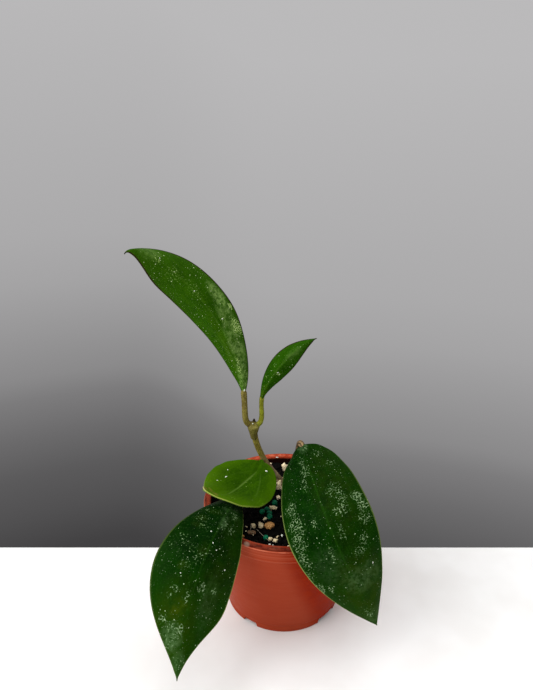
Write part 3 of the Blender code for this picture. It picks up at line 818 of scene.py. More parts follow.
def pot_material():
    """Moulded terracotta plastic: a painted sheen on the left, fine scuffs, a darker mottled lip with painted
    highlights, and soiling and painted shade inside.
    """
    made, tree, shader = new_material("terracotta plastic", Roughness=0.42, IOR=1.49, Specular_IOR_Level=0.02)
    place = vector_maths("SUBTRACT", place_in_mm(tree), tuple(POT_AXIS / MM))
    x, y, height = parts(place)
    from_axis = vector_maths("LENGTH", stretched(place, (1, 1, 0)), (0, 0, 0), "Value")
    relief, mottling = grained(place, 2.4)
    flow = grain(stretched(place, (0.05, 0.05, 0.5)), 1.0, 4.0, 0.6)
    # Painted reflection: the pot is paler and greyer left of a soft slanting edge, where a soft light's
    # reflection lies. It keeps its darker, redder colour on the right, where the leaf shades it.
    left_sheen = ease(x + height * 0.3, 24, 13) * ease(flow, 0.3, 0.65, 0.8, 1.0)
    scuffs = ease(grain(stretched(place, (0.5, 0.5, 3.2)), 1.0, 5.0, 0.75), 0.60, 0.72)
    rings = ease(grain(stretched(place, (0.01, 0.01, 1.0)), 1.0, 2.0, 0.4), 0.5, 0.62, 0.0, 0.3)
    back = ease(y, 5, 25)
    stains = ease(grain(stretched(place, (0.3, 0.3, 1.0)), 1.0, 5.0, 0.7), 0.36, 0.6, 0.62, 0.97)
    # The lip is darker and mottled, less so towards the back.
    lip = ease(height, LIP_FOOT + 0.6, LIP_FOOT + 1.2)
    lip = lip * ease(from_axis, LIP_RADIUS - 2.6, LIP_RADIUS - 1.2, 0.25, 1.0)
    lip = lip * ease(back, 0, 1, 1.0, 0.45)
    # A painted highlight along the top of the lip near its inner edge, shown on the back half.
    back_lip_highlight = ease(from_axis, LIP_INNER + 0.2, LIP_INNER + 0.9)
    back_lip_highlight = back_lip_highlight * ease(from_axis, LIP_INNER + 2.4, LIP_INNER + 1.5)
    back_lip_highlight = back_lip_highlight * ease(height, POT_HEIGHT - 1.6, POT_HEIGHT - 0.8)
    back_lip_highlight = back_lip_highlight * ease(mottling, 0.4, 0.62, 0.05, 0.5)
    # A painted highlight: a thin bright line round the lip's foot, broken by the mottling.
    lip_foot_highlight = ease(height, LIP_FOOT - 0.2, LIP_FOOT + 0.2) * ease(height, LIP_FOOT + 0.9, LIP_FOOT + 0.5)
    lip_foot_highlight = lip_foot_highlight * ease(mottling, 0.4, 0.62, 0.15, 0.6)
    from_smear = vector_maths("DISTANCE", place, SMEAR, "Value")
    specks = ease(grain(place, 1.3, 4.0, 0.7), 0.46, 0.60)
    # Soiling and painted shade darken the inside up to the lip, with dark specks.
    dirt_and_shade = ease(attribute(tree, "grime_and_shade", "Fac") + specks * 0.2, 0.2, 0.9) * 0.97
    skin = layered(
        mix(ease(mottling, 0.34, 0.66), shade(140, 32, 3), shade(150, 38, 5)),
        (ease(flow, 0.45, 0.7, 0.0, 0.3), shade(150, 46, 18)),
        (left_sheen, shade(160, 63, 38)),
        (scuffs * ease(left_sheen, 0, 1, 0.04, 0.14), shade(180, 104, 76)),
        (rings * (height > COLLAR_FOOT), shade(186, 96, 70)),
        (stains * lip, shade(70, 17, 9)),
        # Painted light: the back half is lighter, and its lip carries the painted highlight.
        (back * 0.3, shade(168, 58, 36)),
        (back_lip_highlight * back, shade(222, 120, 88)),
        (lip_foot_highlight, shade(214, 124, 94)),
        (ease(from_smear, 2.3, 1.0, 0.0, 0.6), shade(150, 128, 112)),
        (dusty(place, 0.18), shade(140, 92, 68)),
        (dirt_and_shade, shade(9, 6, 5)),
    )
    rough = ease(mottling, 0.3, 0.7, 0.34, 0.46) + dirt_and_shade * 0.4 + scuffs * 0.12
    finish(shader, skin, rough, relief, 0.05)
    return made


def lump_material(piece_name, dark, light, fineness, depth, roughness):
    """A dull, crumbly finish: two colours in grains, for soil, bark, clay and pumice."""
    name = piece_name.replace("_", " ")
    made, tree, shader = new_material(name, Roughness=roughness, Specular_IOR_Level=0.08)
    relief, mottling = grained(place_in_mm(tree), fineness)
    skin = mix(ease(relief, 0.35, 0.68), shade(*dark), shade(*light))
    skin = mix(ease(mottling, 0.35, 0.7, 0.0, 0.5), skin, shade(*dark))
    rough = ease(mottling, 0.3, 0.7, roughness - 0.06, min(roughness + 0.06, 1.0))
    finish(shader, skin, rough, relief, depth)
    return made


def prill_material():
    """The green resin coat of a fertiliser prill."""
    made, tree, shader = new_material("fertiliser prills", Roughness=0.3, IOR=1.45, Specular_IOR_Level=0.15)
    relief, mottling = grained(place_in_mm(tree), 1.2)
    skin = mix(ease(relief, 0.35, 0.65), shade(0, 80, 52), shade(0, 116, 80))
    skin = mix(ease(mottling, 0.5, 0.7, 0.0, 0.4), skin, shade(20, 80, 60))
    finish(shader, skin, ease(mottling, 0.3, 0.7, 0.22, 0.42), relief, 0.06)
    return made


# Mesh helpers


def placed(name, data):
    """A new object in the scene."""
    made = bpy.data.objects.new(name, data)
    bpy.context.scene.collection.objects.link(made)
    return made


def new_mesh(name, points, faces):
    mesh = bpy.data.meshes.new(name)
    mesh.from_pydata(np.asarray(points, float).tolist(), [], faces)
    return mesh


def new_piece(name, points, faces, materials, slot, replaced=()):
    """A smooth-shaded piece from points in millimetres, which rides on the plant's one body."""
    mesh = new_mesh(name, to_world(points), faces)
    for look in materials:
        mesh.materials.append(look)
    mesh.shade_smooth()
    piece = placed(name, mesh)
    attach(piece, "root")
    if replaced:
        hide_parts(*replaced)
    return piece


def keep_attribute(mesh, name, kind, values):
    """Stores one value for each vertex: FLOAT, FLOAT_VECTOR or FLOAT_COLOR."""
    field = {"FLOAT": "value", "FLOAT_VECTOR": "vector", "FLOAT_COLOR": "color"}[kind]
    made = mesh.attributes.new(name, kind, "POINT")
    made.data.foreach_set(field, np.asarray(values, np.float32).ravel())


def face_outwards(mesh):
    work = bmesh.new()
    work.from_mesh(mesh)
    bmesh.ops.recalc_face_normals(work, faces=work.faces)
    work.to_mesh(mesh)
    work.free()


def unit(vectors):
    """The vectors at length one."""
    return vectors / np.linalg.norm(vectors, axis=-1, keepdims=True)


def bezier(handles, share):
    a, b, c, d = (np.array(h, float) for h in handles)
    t = np.asarray(share, float)[:, None]
    return (1 - t) ** 3 * a + 3 * t * (1 - t) ** 2 * b + 3 * t * t * (1 - t) * c + t**3 * d


def bezier_slope(handles, share):
    a, b, c, d = (np.array(h, float) for h in handles)
    t = np.asarray(share, float)[:, None]
    return unit((1 - t) ** 2 * (b - a) + 2 * t * (1 - t) * (c - b) + t * t * (d - c))


def ring_faces(rings, around):
    """Quads between rings of points that follow each other, and a cap on each end."""
    faces = []
    for row in range(rings - 1):
        for k in range(around):
            here, after = row * around + k, row * around + (k + 1) % around
            faces.append((here, after, after + around, here + around))
    return [*faces, tuple(range(around)), tuple(range((rings - 1) * around, rings * around))]


def ball(detail, radius=0.5):
    """Points and faces of a ball."""
    work = bmesh.new()
    bmesh.ops.create_icosphere(work, subdivisions=detail, radius=radius)
    points = [v.co.copy() for v in work.verts]
    faces = [tuple(v.index for v in f.verts) for f in work.faces]
    work.free()
    return points, faces


def joined(shells):
    """Several shells as one: their points and faces."""
    points, faces = [], []
    for shell_points, shell_faces in shells:
        start = len(points)
        points += list(shell_points)
        faces += [tuple(start + v for v in face) for face in shell_faces]
    return points, faces


def tube_mesh(centres, radii, sides=ROD_SIDES):
    """Points and faces of a closed round tube."""
    slopes = unit(np.gradient(centres, axis=0))
    u = unit(np.cross(slopes, ASIDE))
    v = np.cross(slopes, u)
    turns = np.arange(sides) * 2 * math.pi / sides
    wheel = np.cos(turns)[None, :, None] * u[:, None] + np.sin(turns)[None, :, None] * v[:, None]
    points = (centres[:, None] + radii[:, None, None] * wheel).reshape(-1, 3)
    return points, ring_faces(len(centres), sides)


def lump(place, size, turn, rough, rng, detail=2, flat=0.0):
    """A broken or rounded lump: points and faces."""
    verts, faces = ball(detail)
    shift = Vector([rng.uniform(-50, 50) for _ in range(3)])
    points = []
    for p in verts:
        if flat:
            p = Vector([math.copysign(abs(2 * c) ** flat / 2, c) for c in p])
        p *= 1 + rough * turbulence.noise(p * 3.2 + shift) + 0.4 * rough * turbulence.noise(p * 8 + shift)
        points.append(Vector(place) + turn @ Vector(c * s for c, s in zip(p, size)))
    return points, faces


# Leaves


def spread(handles, rows):
    """Curve parameters at these shares of the curve's length, and the length."""
    fine = np.linspace(0, 1, 600)
    steps = np.linalg.norm(np.diff(bezier(handles, fine), axis=0), axis=1)
    length = np.concatenate([[0], np.cumsum(steps)])
    return np.interp(rows, length / length[-1], fine), length[-1]


def outline(leaf, rows):
    """The outline's bare curve: how wide the blade is at each share of its length."""
    base_power, tip_power, skew = leaf["outline"]
    place = rows**skew
    return np.clip(4 * place * (1 - place), 0, 1) ** (base_power + (tip_power - base_power) * rows)


def half_width(leaf, rows):
    widest = outline(leaf, np.linspace(0, 1, 400)).max()
    blade = leaf["half"] * outline(leaf, rows) / widest
    chord = math.dist(leaf["mid"][0], leaf["mid"][3])
    point = leaf["point"] * chord * (1 - rows) * rows**POINT_POWER
    end = BASE_HALF + (TIP_HALF - BASE_HALF) * rows
    return np.hypot(blade + point, end)


def leaf_rows():
    """Shares along the blade, closer together at its ends."""
    even = np.linspace(0, 1, LEAF_ROWS + 1)
    return 0.5 * even + 0.5 * (1 - np.cos(math.pi * even)) / 2


def leaf_columns():
    """Shares across the blade, closer together at the midrib."""
    even = np.linspace(-1, 1, LEAF_COLUMNS)
    return even * (0.62 + 0.38 * np.abs(even))


def leaf_phase(name):
    return LEAF_PHASE * list(LEAVES).index(name)


def spots(leaf, marks, x, y, length):
    """Cover from 0 up at each point of the blade, from named ellipses on it."""
    cover = np.zeros_like(x)
    for across, along, half_across, half_along, strength in marks:
        middle = across * float(half_width(leaf, np.array([along]))[0])
        distance = np.hypot((x - middle) / half_across, (y - along * length) / half_along)
        cover = np.maximum(cover, strength * np.clip(1.35 - 0.75 * distance**1.5, 0, 1))
    return cover


def main_veins(leaf, x, y, length):
    """How near each point lies to a main vein: up to 1 on it, 0 from a millimetre away."""
    nearness = np.zeros_like(x)
    steps = np.linspace(0, 1, MAIN_VEIN_STEPS + 1)
    for strength, handles in leaf["veins"]:
        across, along = bezier(handles, steps).T
        ends = list(zip(across * half_width(leaf, along), along * length))
        for step, (x0, y0), (x1, y1) in zip(steps, ends, ends[1:]):
            dx, dy = x1 - x0, y1 - y0
            run = np.clip(((x - x0) * dx + (y - y0) * dy) / (dx**2 + dy**2), 0, 1)
            away = np.hypot(x - x0 - run * dx, y - y0 - run * dy)
            reached = step + run / MAIN_VEIN_STEPS
            faded = strength * np.minimum(1, 4 * np.minimum(reached, 1.04 - reached))
            nearness = np.maximum(nearness, faded * np.clip(1 - away, 0, 1))
    return nearness


def side_veins(x, y, phase):
    """How near each point lies to a side vein, which leaves the midrib and curves along the margin."""
    climb = y - SIDE_VEIN_SLOPE * np.abs(x) - 0.022 * x * x + 0.6 * np.sin(0.31 * x + phase)
    turn = (climb / SIDE_VEIN_SPACING + np.where(x > 0, 0.5, 0.0) + phase) % 1.0
    return np.exp(-(((turn - 0.5) * SIDE_VEIN_SPACING / SIDE_VEIN_WIDTH) ** 2))


def blade_frame(leaf, rows):
    """The midrib's points and directions, the blade's face and side there, and the midrib's length."""
    shares, length = spread(leaf["mid"], rows)
    centre = bezier(leaf["mid"], shares)
    along = bezier_slope(leaf["mid"], shares)
    up = np.outer(1 - rows, leaf["up"][0]) + np.outer(rows, leaf["up"][1])
    face = unit(up - (up * along).sum(axis=1)[:, None] * along)
    return centre, along, face, np.cross(along, face), length


def sinks(leaf, columns):
    left, right, more = (math.radians(angle) for angle in leaf["fold"])
    return np.where(columns < 0, left, right) + more * np.abs(columns)


def blade_points(leaf, rows, columns, phase):
    """Grids of the upper face and the underside, and for each point its place on the blade in millimetres."""
    centre, _, face, side, length = blade_frame(leaf, rows)
    reach = half_width(leaf, rows)
    inset = np.minimum(0.4 * BLADE / reach, 0.45)
    across = columns[None, :] * (1 - inset[:, None])
    sink = sinks(leaf, columns)[None, :]
    soft = np.sqrt(across**2 + CREASE_SOFTNESS**2) - CREASE_SOFTNESS
    fuller = np.ones_like(across)
    for half, extra, middle, span in leaf.get("fuller", ()):
        fuller += extra * np.exp(-(((rows - middle) / span) ** 2))[:, None] * np.maximum(half * across, 0)
    x = across * fuller * reach[:, None]
    y = np.repeat((rows * length)[:, None], len(columns), axis=1)
    arch = np.sin(math.pi * rows)[:, None]
    ripple = RIPPLE * across**2 * np.sin(2 * math.pi * RIPPLES * rows[:, None] + 2 * across)
    swell = np.sin(0.33 * x + phase) * np.sin(0.27 * y + 2 * phase)
    swell = swell + 0.6 * np.sin(0.61 * x - 0.43 * y + phase)
    down = soft * reach[:, None] * np.sin(sink) + ripple * arch
    down = down - SWELL * swell * arch**0.5 * (1 - 0.6 * across**2)
    veins = side_veins(x, y, phase) * arch**0.5 * (1 - across**6)
    groove = np.exp(-((x / GROOVE_WIDTH) ** 2)) * np.minimum(1, rows * 12)[:, None] * (1 - rows[:, None] ** 4)
    relief = GROOVE_DEPTH * groove + SIDE_VEIN_DEPTH * veins
    thin = np.clip(reach / THIN_HALF, 0.3, 1)[:, None] ** np.where(rows > 0.5, 1, 0)[:, None]
    thickness = thin * (BLADE + (EDGE_BLADE - BLADE) * np.abs(across)) / np.cos(sink)
    rib = thin * RIB_DEPTH * (1 - 0.85 * rows[:, None]) * np.exp(-np.abs(x / RIB_WIDTH) ** 2.4)
    flat = centre[:, None] + (x * np.cos(sink))[..., None] * side[:, None]
    upper = flat - (down + relief)[..., None] * face[:, None]
    lower = flat - (down + thickness + rib + 0.5 * SIDE_VEIN_DEPTH * veins)[..., None] * face[:, None]
    return upper, lower, x, y, veins, length


def blade_rims(leaf, rows, columns, upper, lower):
    """The rounded rim of the right half and of the left half, in the skin's order."""
    _, _, face, side, _ = blade_frame(leaf, rows)
    turns = np.linspace(0, math.pi, RIM_STEPS + 2)[1:-1]
    rims = []
    for end, sign in ((-1, 1), (0, -1)):
        middle = (upper[:, end] + lower[:, end]) / 2
        half = (upper[:, end] - lower[:, end]) / 2
        sink = sinks(leaf, columns)[end]
        outward = sign * math.cos(sink) * side - math.sin(sink) * face
        bulge = 0.8 * np.linalg.norm(half, axis=1)[:, None] * outward
        arc = [middle + math.cos(turn) * half + math.sin(turn) * bulge for turn in turns]
        rims.append(np.stack(arc, axis=1))
    return rims[0], rims[1][:, ::-1]


def around_skin(values, at_rims=1):
    """Values of a grid on both faces and the rims, in the skin's order."""
    left, right = (np.repeat(at_rims * values[:, end, None], RIM_STEPS, axis=1) for end in (0, -1))
    return np.concatenate([values, right, values[:, ::-1], left], axis=1)


def blade_fields(leaf, phase, rows, columns, x, y, veins, length):
    """What the blade's materials read at each point of its skin: place, shares, marks and tints, with painted
    sheen and shade.
    """
    rim_tints = [np.interp(rows, RIM_PLACES, shares)[:, None] for shares in leaf["rims"]]
    rim_tint = np.where(columns[None, :] < 0, *rim_tints)
    across = np.repeat(columns[None, :], len(rows), axis=0)
    along = np.repeat(rows[:, None], len(columns), axis=1)
    cover, painted_sheen, stain, deep = (
        spots(leaf, leaf.get(kind, ()), x, y, length) for kind in ("splashes", "painted_sheens", "stains", "painted_shades")
    )
    grids = {
        "blade_mm": (x, y, np.full_like(x, 40.0 * phase)),
        "blade_share": (across, along, veins),
        "blade_marks": (cover, painted_sheen, main_veins(leaf, x, y, length)),
        "blade_tints": (stain, rim_tint, deep),
    }
    return {
        field: np.stack([around_skin(grid, 0 if grid is veins else 1) for grid in three], axis=2)
        for field, three in grids.items()
    }


def make_blade(name, leaf):
    """One blade as a closed skin: upper face, rounded rim, underside, and a closed end at base and tip."""
    label, tone, slot = TONES[name]
    tone = {key: shade(*value) if isinstance(value, tuple) else value for key, value in tone.items()}
    rows, columns = leaf_rows(), leaf_columns()
    phase = leaf_phase(name)
    upper, lower, x, y, veins, length = blade_points(leaf, rows, columns, phase)
    right_rim, left_rim = blade_rims(leaf, rows, columns, upper, lower)
    skin = np.concatenate([upper, right_rim, lower[:, ::-1], left_rim], axis=1)
    _, along, face, _, _ = blade_frame(leaf, rows)
    caps = []
    for row, direction in ((0, -1), (LEAF_ROWS, 1)):
        middle = skin[row].mean(axis=0)
        spokes = skin[row] - middle
        bulge = direction * 0.5 * np.ptp(skin[row] @ face[row]) * along[row]
        caps.append([middle + spokes * math.cos(turn) + bulge * math.sin(turn) for turn in CAP_TURNS])
    points = np.concatenate([*caps[0][::-1], *skin, *caps[1]])
    extra = len(CAP_TURNS)
    order = [0] * extra + list(range(len(rows))) + [LEAF_ROWS] * extra
    around = skin.shape[1]
    half_rim = RIM_STEPS // 2
    lower_faces = [int(len(columns) + half_rim <= k < around - half_rim - 1) for k in range(around)]
    looks = [blade_material(label, tone), underside_material(label, tone)]
    faces = ring_faces(len(order), around)
    piece = new_piece(name.replace("leaf", "blade"), points, faces, looks, slot, (name,))
    mesh = piece.data
    mesh.polygons.foreach_set("material_index", lower_faces * (len(order) - 1) + [1, 1])
    for field, values in blade_fields(leaf, phase, rows, columns, x, y, veins, length).items():
        keep_attribute(mesh, field, "FLOAT_VECTOR", values[order].reshape(-1, 3))
    face_outwards(mesh)


def bead(name, leaf, across, along, size, rng):
    """A flat bead on a blade, turned at random, with its points and faces."""
    rows, columns = np.array([along, along + 0.004]), np.array([across, across + 0.01])
    upper = blade_points(leaf, rows, columns, leaf_phase(name))[0]
    step_x, step_y = unit(upper[0, 1] - upper[0, 0]), upper[1, 0] - upper[0, 0]
    out = unit(np.cross(step_x, step_y))
    if out @ blade_frame(leaf, rows)[2][0] < 0:
        out = -out
    turn = rng.uniform(0, math.pi)
    one = math.cos(turn) * step_x + math.sin(turn) * np.cross(out, step_x)
    long, wide = size[0] * one, size[1] * np.cross(out, one)
    shift = Vector((list(LEAVES).index(name), along * 9, 0))
    verts, faces = ball(2)
    points = []
    for x, y, z in verts:
        swollen = 1 + 0.18 * turbulence.noise(Vector((x, y, z)) * 3 + shift)
        points.append(upper[0, 0] + swollen * (x * long + y * wide) + z * BEAD_HEIGHT * out)
    return points, faces


def make_specks():
    """Raised white specks of lime on the blades, and the loose white grains. A few stand where glints show,
    and their white is partly a painted highlight.
    """
    rng = random.Random(SEED)
    shells = []
    for name, leaf in LEAVES.items():
        for across, along, *size in leaf["specks"]:
            shells.append(bead(name, leaf, across, along, size, rng))
    for *place, long, wide in WHITE_GRAINS:
        shells.append(lump(place, (long, wide, 0.6), Matrix.Identity(3), 0.3, rng))
    look = lump_material("lime_specks", (206, 212, 196), (240, 244, 234), 4.0, 0.05, 0.35)
    new_piece("lime_specks", *joined(shells), [look], "dark_leaf")


# Stem


def stalk_handles(name):
    """The stalk's curve, which ends in the blade's rib, and the midrib's direction there."""
    start, rise, reach, _, _ = STALKS[name]
    centre, along, face, _, _ = blade_frame(LEAVES[name], np.array([0.0]))
    end = centre[0] - GAP * along[0] - (BLADE + RIB_DEPTH) / 2 * face[0]
    return (start, rise, end - reach * along[0], end), along[0]


def stem_branches():
    """Each branch: its centre line, radius at each point, and skin colour at each point."""
    share = np.linspace(0, 1, STALK_STEPS)

    def even(colour, count):
        return np.repeat(np.array(shade(*colour))[None], count, axis=0)

    foot = np.linspace((*STEM_FOOT, SOIL_LEVEL - 6), (*STEM_FOOT, SOIL_LEVEL + 0.9), FOOT_STEPS)
    centres = np.vstack([foot, bezier(STEM_CURVE, share)])
    count = len(centres)
    radii = np.interp(np.arange(count), *zip(*STEM_RADII))
    old = np.clip((86 - centres[:, 2]) / 10, 0, 1)[:, None]
    branches = [(centres, radii, old * even(BARK, count) + (1 - old) * even(OLIVE, count))]
    for name, (_, _, _, (first, last), (near, far)) in STALKS.items():
        handles, along = stalk_handles(name)
        centres = bezier(handles, share)
        into = centres[-1] + np.linspace(0.3, 2.6, INTO_BLADE_STEPS)[:, None] * along
        swell = 1 + 0.16 * np.exp(-((share / 0.07) ** 2)) + 0.08 * np.exp(-(((1 - share) / 0.08) ** 2))
        narrowing = last * np.linspace(1, 0.5, INTO_BLADE_STEPS)
        radii = np.concatenate([(first + (last - first) * share) * swell, narrowing])
        near, far = even(near, STALK_STEPS), even(far, STALK_STEPS)
        colours = np.vstack([near + (far - near) * share[:, None], far[:INTO_BLADE_STEPS]])
        branches.append((np.vstack([centres, into]), radii, colours))
    rise = np.linspace(0, BUD[-1][0], BUD_STEPS)
    bud = np.array(STEM_CURVE[-1], float) + np.outer(rise, BUD_LEAN)
    branches.append((bud, np.interp(rise, *zip(*BUD)), even(BUD_BROWN, BUD_STEPS)))
    heights = np.linspace(JOINT[0][0], JOINT[-1][0], JOINT_STEPS)
    joint = np.array([(*JOINT_PLACE, height) for height in heights])
    branches.append((joint, np.interp(heights, *zip(*JOINT)), even(KHAKI, JOINT_STEPS)))
    return branches


def knot_mesh(x, y, z, radius):
    verts, faces = ball(3, radius)
    return [(v.x + x, v.y + y, 0.85 * v.z + z) for v in verts], faces


def fused(name, shells, voxel, passes):
    """Closed shells in millimetres fused into one smooth skin. Gives its points and faces."""
    mesh = new_mesh(name, *joined(shells))
    face_outwards(mesh)
    body = placed(name, mesh)
    remesh = body.modifiers.new("fuse", "REMESH")
    remesh.mode = "VOXEL"
    remesh.voxel_size = voxel
    smooth = body.modifiers.new("smooth", "SMOOTH")
    smooth.factor = 0.5
    smooth.iterations = passes
    graph = bpy.context.evaluated_depsgraph_get()
    result = body.evaluated_get(graph).to_mesh()
    kept = np.array([v.co for v in result.vertices]), [tuple(p.vertices) for p in result.polygons]
    bpy.data.objects.remove(body, do_unlink=True)
    return kept


def hump(distance, width):
    """From 1 down to 0 as the distance grows past this width."""
    return math.exp(-((distance / width) ** 2))


def clipped(value):
    return min(max(value, 0.0), 1.0)


def make_stem():
    """The stem, stalks, joints and bud as one skin, with its ridges and the marks that its material reads."""
    branches = stem_branches()
    shells = [tube_mesh(centres, radii) for centres, radii, _ in branches]
    shells += [knot_mesh(*knot) for knot in KNOTS]
    points, faces = fused("stem_form", shells, STEM_VOXEL, 4)
    lines, reaches, tints = (np.concatenate(part) for part in zip(*branches))
    runs, owner, slopes = [], [], []
    for k, (centres, _, _) in enumerate(branches):
        runs += [0, *np.cumsum(np.linalg.norm(np.diff(centres, axis=0), axis=1))]
        # The joint belongs to the stem.
        owner += [k % (len(branches) - 1)] * len(centres)
        slopes += list(unit(np.gradient(centres, axis=0)))
    owner = np.array(owner)
    tree = KDTree(len(lines))
    for index, place in enumerate(lines):
        tree.insert(place, index)
    tree.balance()
    moved, colours, marks, places = [], [], [], []
    for point in points:
        near = tree.find_n(point, NEAREST_POINTS)
        gaps = np.array([distance - reaches[index] for _, index, distance in near])
        chosen = np.array([index for _, index, _ in near])
        weights = np.exp(-(((gaps - gaps.min()) / 0.3) ** 2))
        weights /= weights.sum()
        closest = chosen[gaps.argmin()]
        branch, run, slope = owner[closest], runs[closest], slopes[closest]
        spoke = point - lines[closest]
        spoke = spoke - (spoke @ slope) * slope
        radius = max(np.linalg.norm(spoke), 0.2)
        turn = math.atan2(spoke @ np.cross(slope, ASIDE), spoke @ np.array(ASIDE))
        ridge = 0.04 * math.sin(7 * turn + 0.4 * run) + 0.07 * turbulence.noise(Vector(point) * 0.9)
        moved.append(point + spoke / radius * ridge)
        colours.append(weights @ tints[chosen])
        joint_shade_and_bands = 0.0
        upper = point[2] > CURL_HEIGHT
        gaps_to_others = gaps[owner[chosen] != branch]
        # Painted shade in the angles where branches meet at the upper joint, dark rings on the lower stalks,
        # and dark ribs on the right leaf's stalk where it curls over.
        if upper and gaps_to_others.size:
            joint_shade_and_bands = 0.65 * hump(gaps_to_others.min() - gaps.min(), 0.45)
        if branch in (1, 2, 3):
            joint_shade_and_bands = max(joint_shade_and_bands, 0.5 * hump(run - RING_RUN, RING_WIDTH))
        if upper and branch == 1:
            joint_shade_and_bands = max(joint_shade_and_bands, 0.85 * clipped(2 * math.sin(5 * turn + 0.5 * run)))
        # The second mark is painted shade on the sides that face left and right.
        marks.append((joint_shade_and_bands, 0.45 * clipped(4 * abs(spoke[0]) / radius - 2.9), 0.0))
        places.append((1.6 * turn, 0.35 * run + 5 * branch, radius))
    mesh = new_piece("hoya_stem", moved, faces, [stem_material()], "stem_skin", ("stem",)).data
    keep_attribute(mesh, "skin_colour", "FLOAT_COLOR", colours)
    keep_attribute(mesh, "stem_marks", "FLOAT_VECTOR", marks)
    keep_attribute(mesh, "stem_place", "FLOAT_VECTOR", places)


# Pot


def wall_inner_radius(height):
    share = (height - FOOT_HEIGHT) / (COLLAR_FOOT - FOOT_HEIGHT)
    return FOOT_RADIUS + WALL_STEP - WALL + share * (WALL_TOP_RADIUS - FOOT_RADIUS - WALL_STEP)


def pot_profile():
    """The pot's section, from the middle of its underside round the outside and over the lip to the floor."""
    return (
        (0, FOOT_HEIGHT),
        (FOOT_RADIUS - FOOT_WIDTH, FOOT_HEIGHT),
        (FOOT_RADIUS - FOOT_WIDTH, 0),
        (FOOT_RADIUS - 0.1, 0),
        (FOOT_RADIUS, 1.0),
        (FOOT_RADIUS - 0.25, 1.25),
        (FOOT_RADIUS, 1.5),
        (FOOT_RADIUS + 0.1, FOOT_BAND - 0.3),
        (FOOT_RADIUS + 0.75, FOOT_BAND + 0.2),
        (WALL_TOP_RADIUS, COLLAR_FOOT),
        (COLLAR_RADIUS - 0.35, COLLAR_FOOT + 0.35),
        (COLLAR_RADIUS, LIP_FOOT),
        (LIP_RADIUS - 0.2, LIP_FOOT),
        (LIP_RADIUS, LIP_FOOT + 0.35),
        (LIP_RADIUS - 0.35, LIP_FOOT + 0.8),
        (LIP_RADIUS - 0.4, POT_HEIGHT - 0.9),
        (LIP_RADIUS - 1.0, POT_HEIGHT - 0.3),
        ((LIP_INNER + LIP_RADIUS) / 2, POT_HEIGHT),
        (LIP_INNER + 0.6, POT_HEIGHT - 0.6),
        (LIP_INNER, POT_HEIGHT - 1.5),
        (LIP_INNER + 0.2, LIP_FOOT),
        (wall_inner_radius(COLLAR_FOOT), COLLAR_FOOT),
        (wall_inner_radius(FLOOR_TOP), FLOOR_TOP),
        (0, FLOOR_TOP),
    )


def rounded(profile, size):
    """The profile with each inner corner turned into a short curve."""
    result = [profile[0]]
    for before, corner, after in zip(profile, profile[1:], profile[2:]):
        corner = np.array(corner, float)
        into, out = np.array(before) - corner, np.array(after) - corner
        start = corner + into * min(0.42, size / np.linalg.norm(into))
        end = corner + out * min(0.42, size / np.linalg.norm(out))
        for step in np.linspace(0, 1, CORNER_STEPS):
            curve = (1 - step) ** 2 * start + 2 * step * (1 - step) * corner + step**2 * end
            result.append(tuple(curve))
    result.append(profile[-1])
    return result


def lathe(profile, sides):
    """Points and faces of a profile of (radius, height) points turned about Z."""
    points, rings = [], []
    for radius, height in profile:
        if radius == 0:
            rings.append([len(points)] * sides)
            points.append((0.0, 0.0, height))
            continue
        rings.append([len(points) + k for k in range(sides)])
        for k in range(sides):
            turn = 2 * math.pi * k / sides
            points.append((radius * math.sin(turn), -radius * math.cos(turn), height))
    faces = []
    for lower, upper in zip(rings, rings[1:]):
        for k in range(sides):
            ring = (lower[k], lower[(k + 1) % sides], upper[(k + 1) % sides], upper[k])
            faces.append(tuple(dict.fromkeys(ring)))
    return points, faces


def cutter(points, faces):
    mesh = new_mesh("cutter", to_world(points), faces)
    face_outwards(mesh)
    return bpy.data.objects.new("cutter", mesh)


# Faces of a box whose two ends have four corners each, in turn.
BOX_FACES = ((0, 1, 2, 3), (4, 5, 6, 7), (0, 1, 5, 4), (1, 2, 6, 5), (2, 3, 7, 6), (3, 0, 4, 7))


def notch(bearing, width):
    """A cutter with sloping sides, which opens the foot ring at this bearing."""
    turn = Matrix.Rotation(math.radians(bearing), 3, "Z")
    low, high = (-2, width / 2 + NOTCH_SLOPE), (FOOT_HEIGHT - 0.4, width / 2 - NOTCH_SLOPE)
    section = [(-low[1], low[0]), (low[1], low[0]), (high[1], high[0]), (-high[1], high[0])]
    depths = FOOT_RADIUS - FOOT_WIDTH - 2, FOOT_RADIUS + 3
    return cutter([turn @ Vector((x, -y, z)) for y in depths for x, z in section], BOX_FACES)


def drain(bearing):
    """A cutter for the drain hole behind the notch at this bearing."""
    top = FLOOR_TOP + 1
    points, faces = lathe(((0, 1), (DRAIN_RADIUS, 1), (DRAIN_RADIUS, top), (0, top)), DRAIN_SIDES)
    turn = math.radians(bearing)
    shift = np.array((DRAIN_REACH * math.sin(turn), -DRAIN_REACH * math.cos(turn), 0))
    return cutter(np.array(points) + shift, faces)


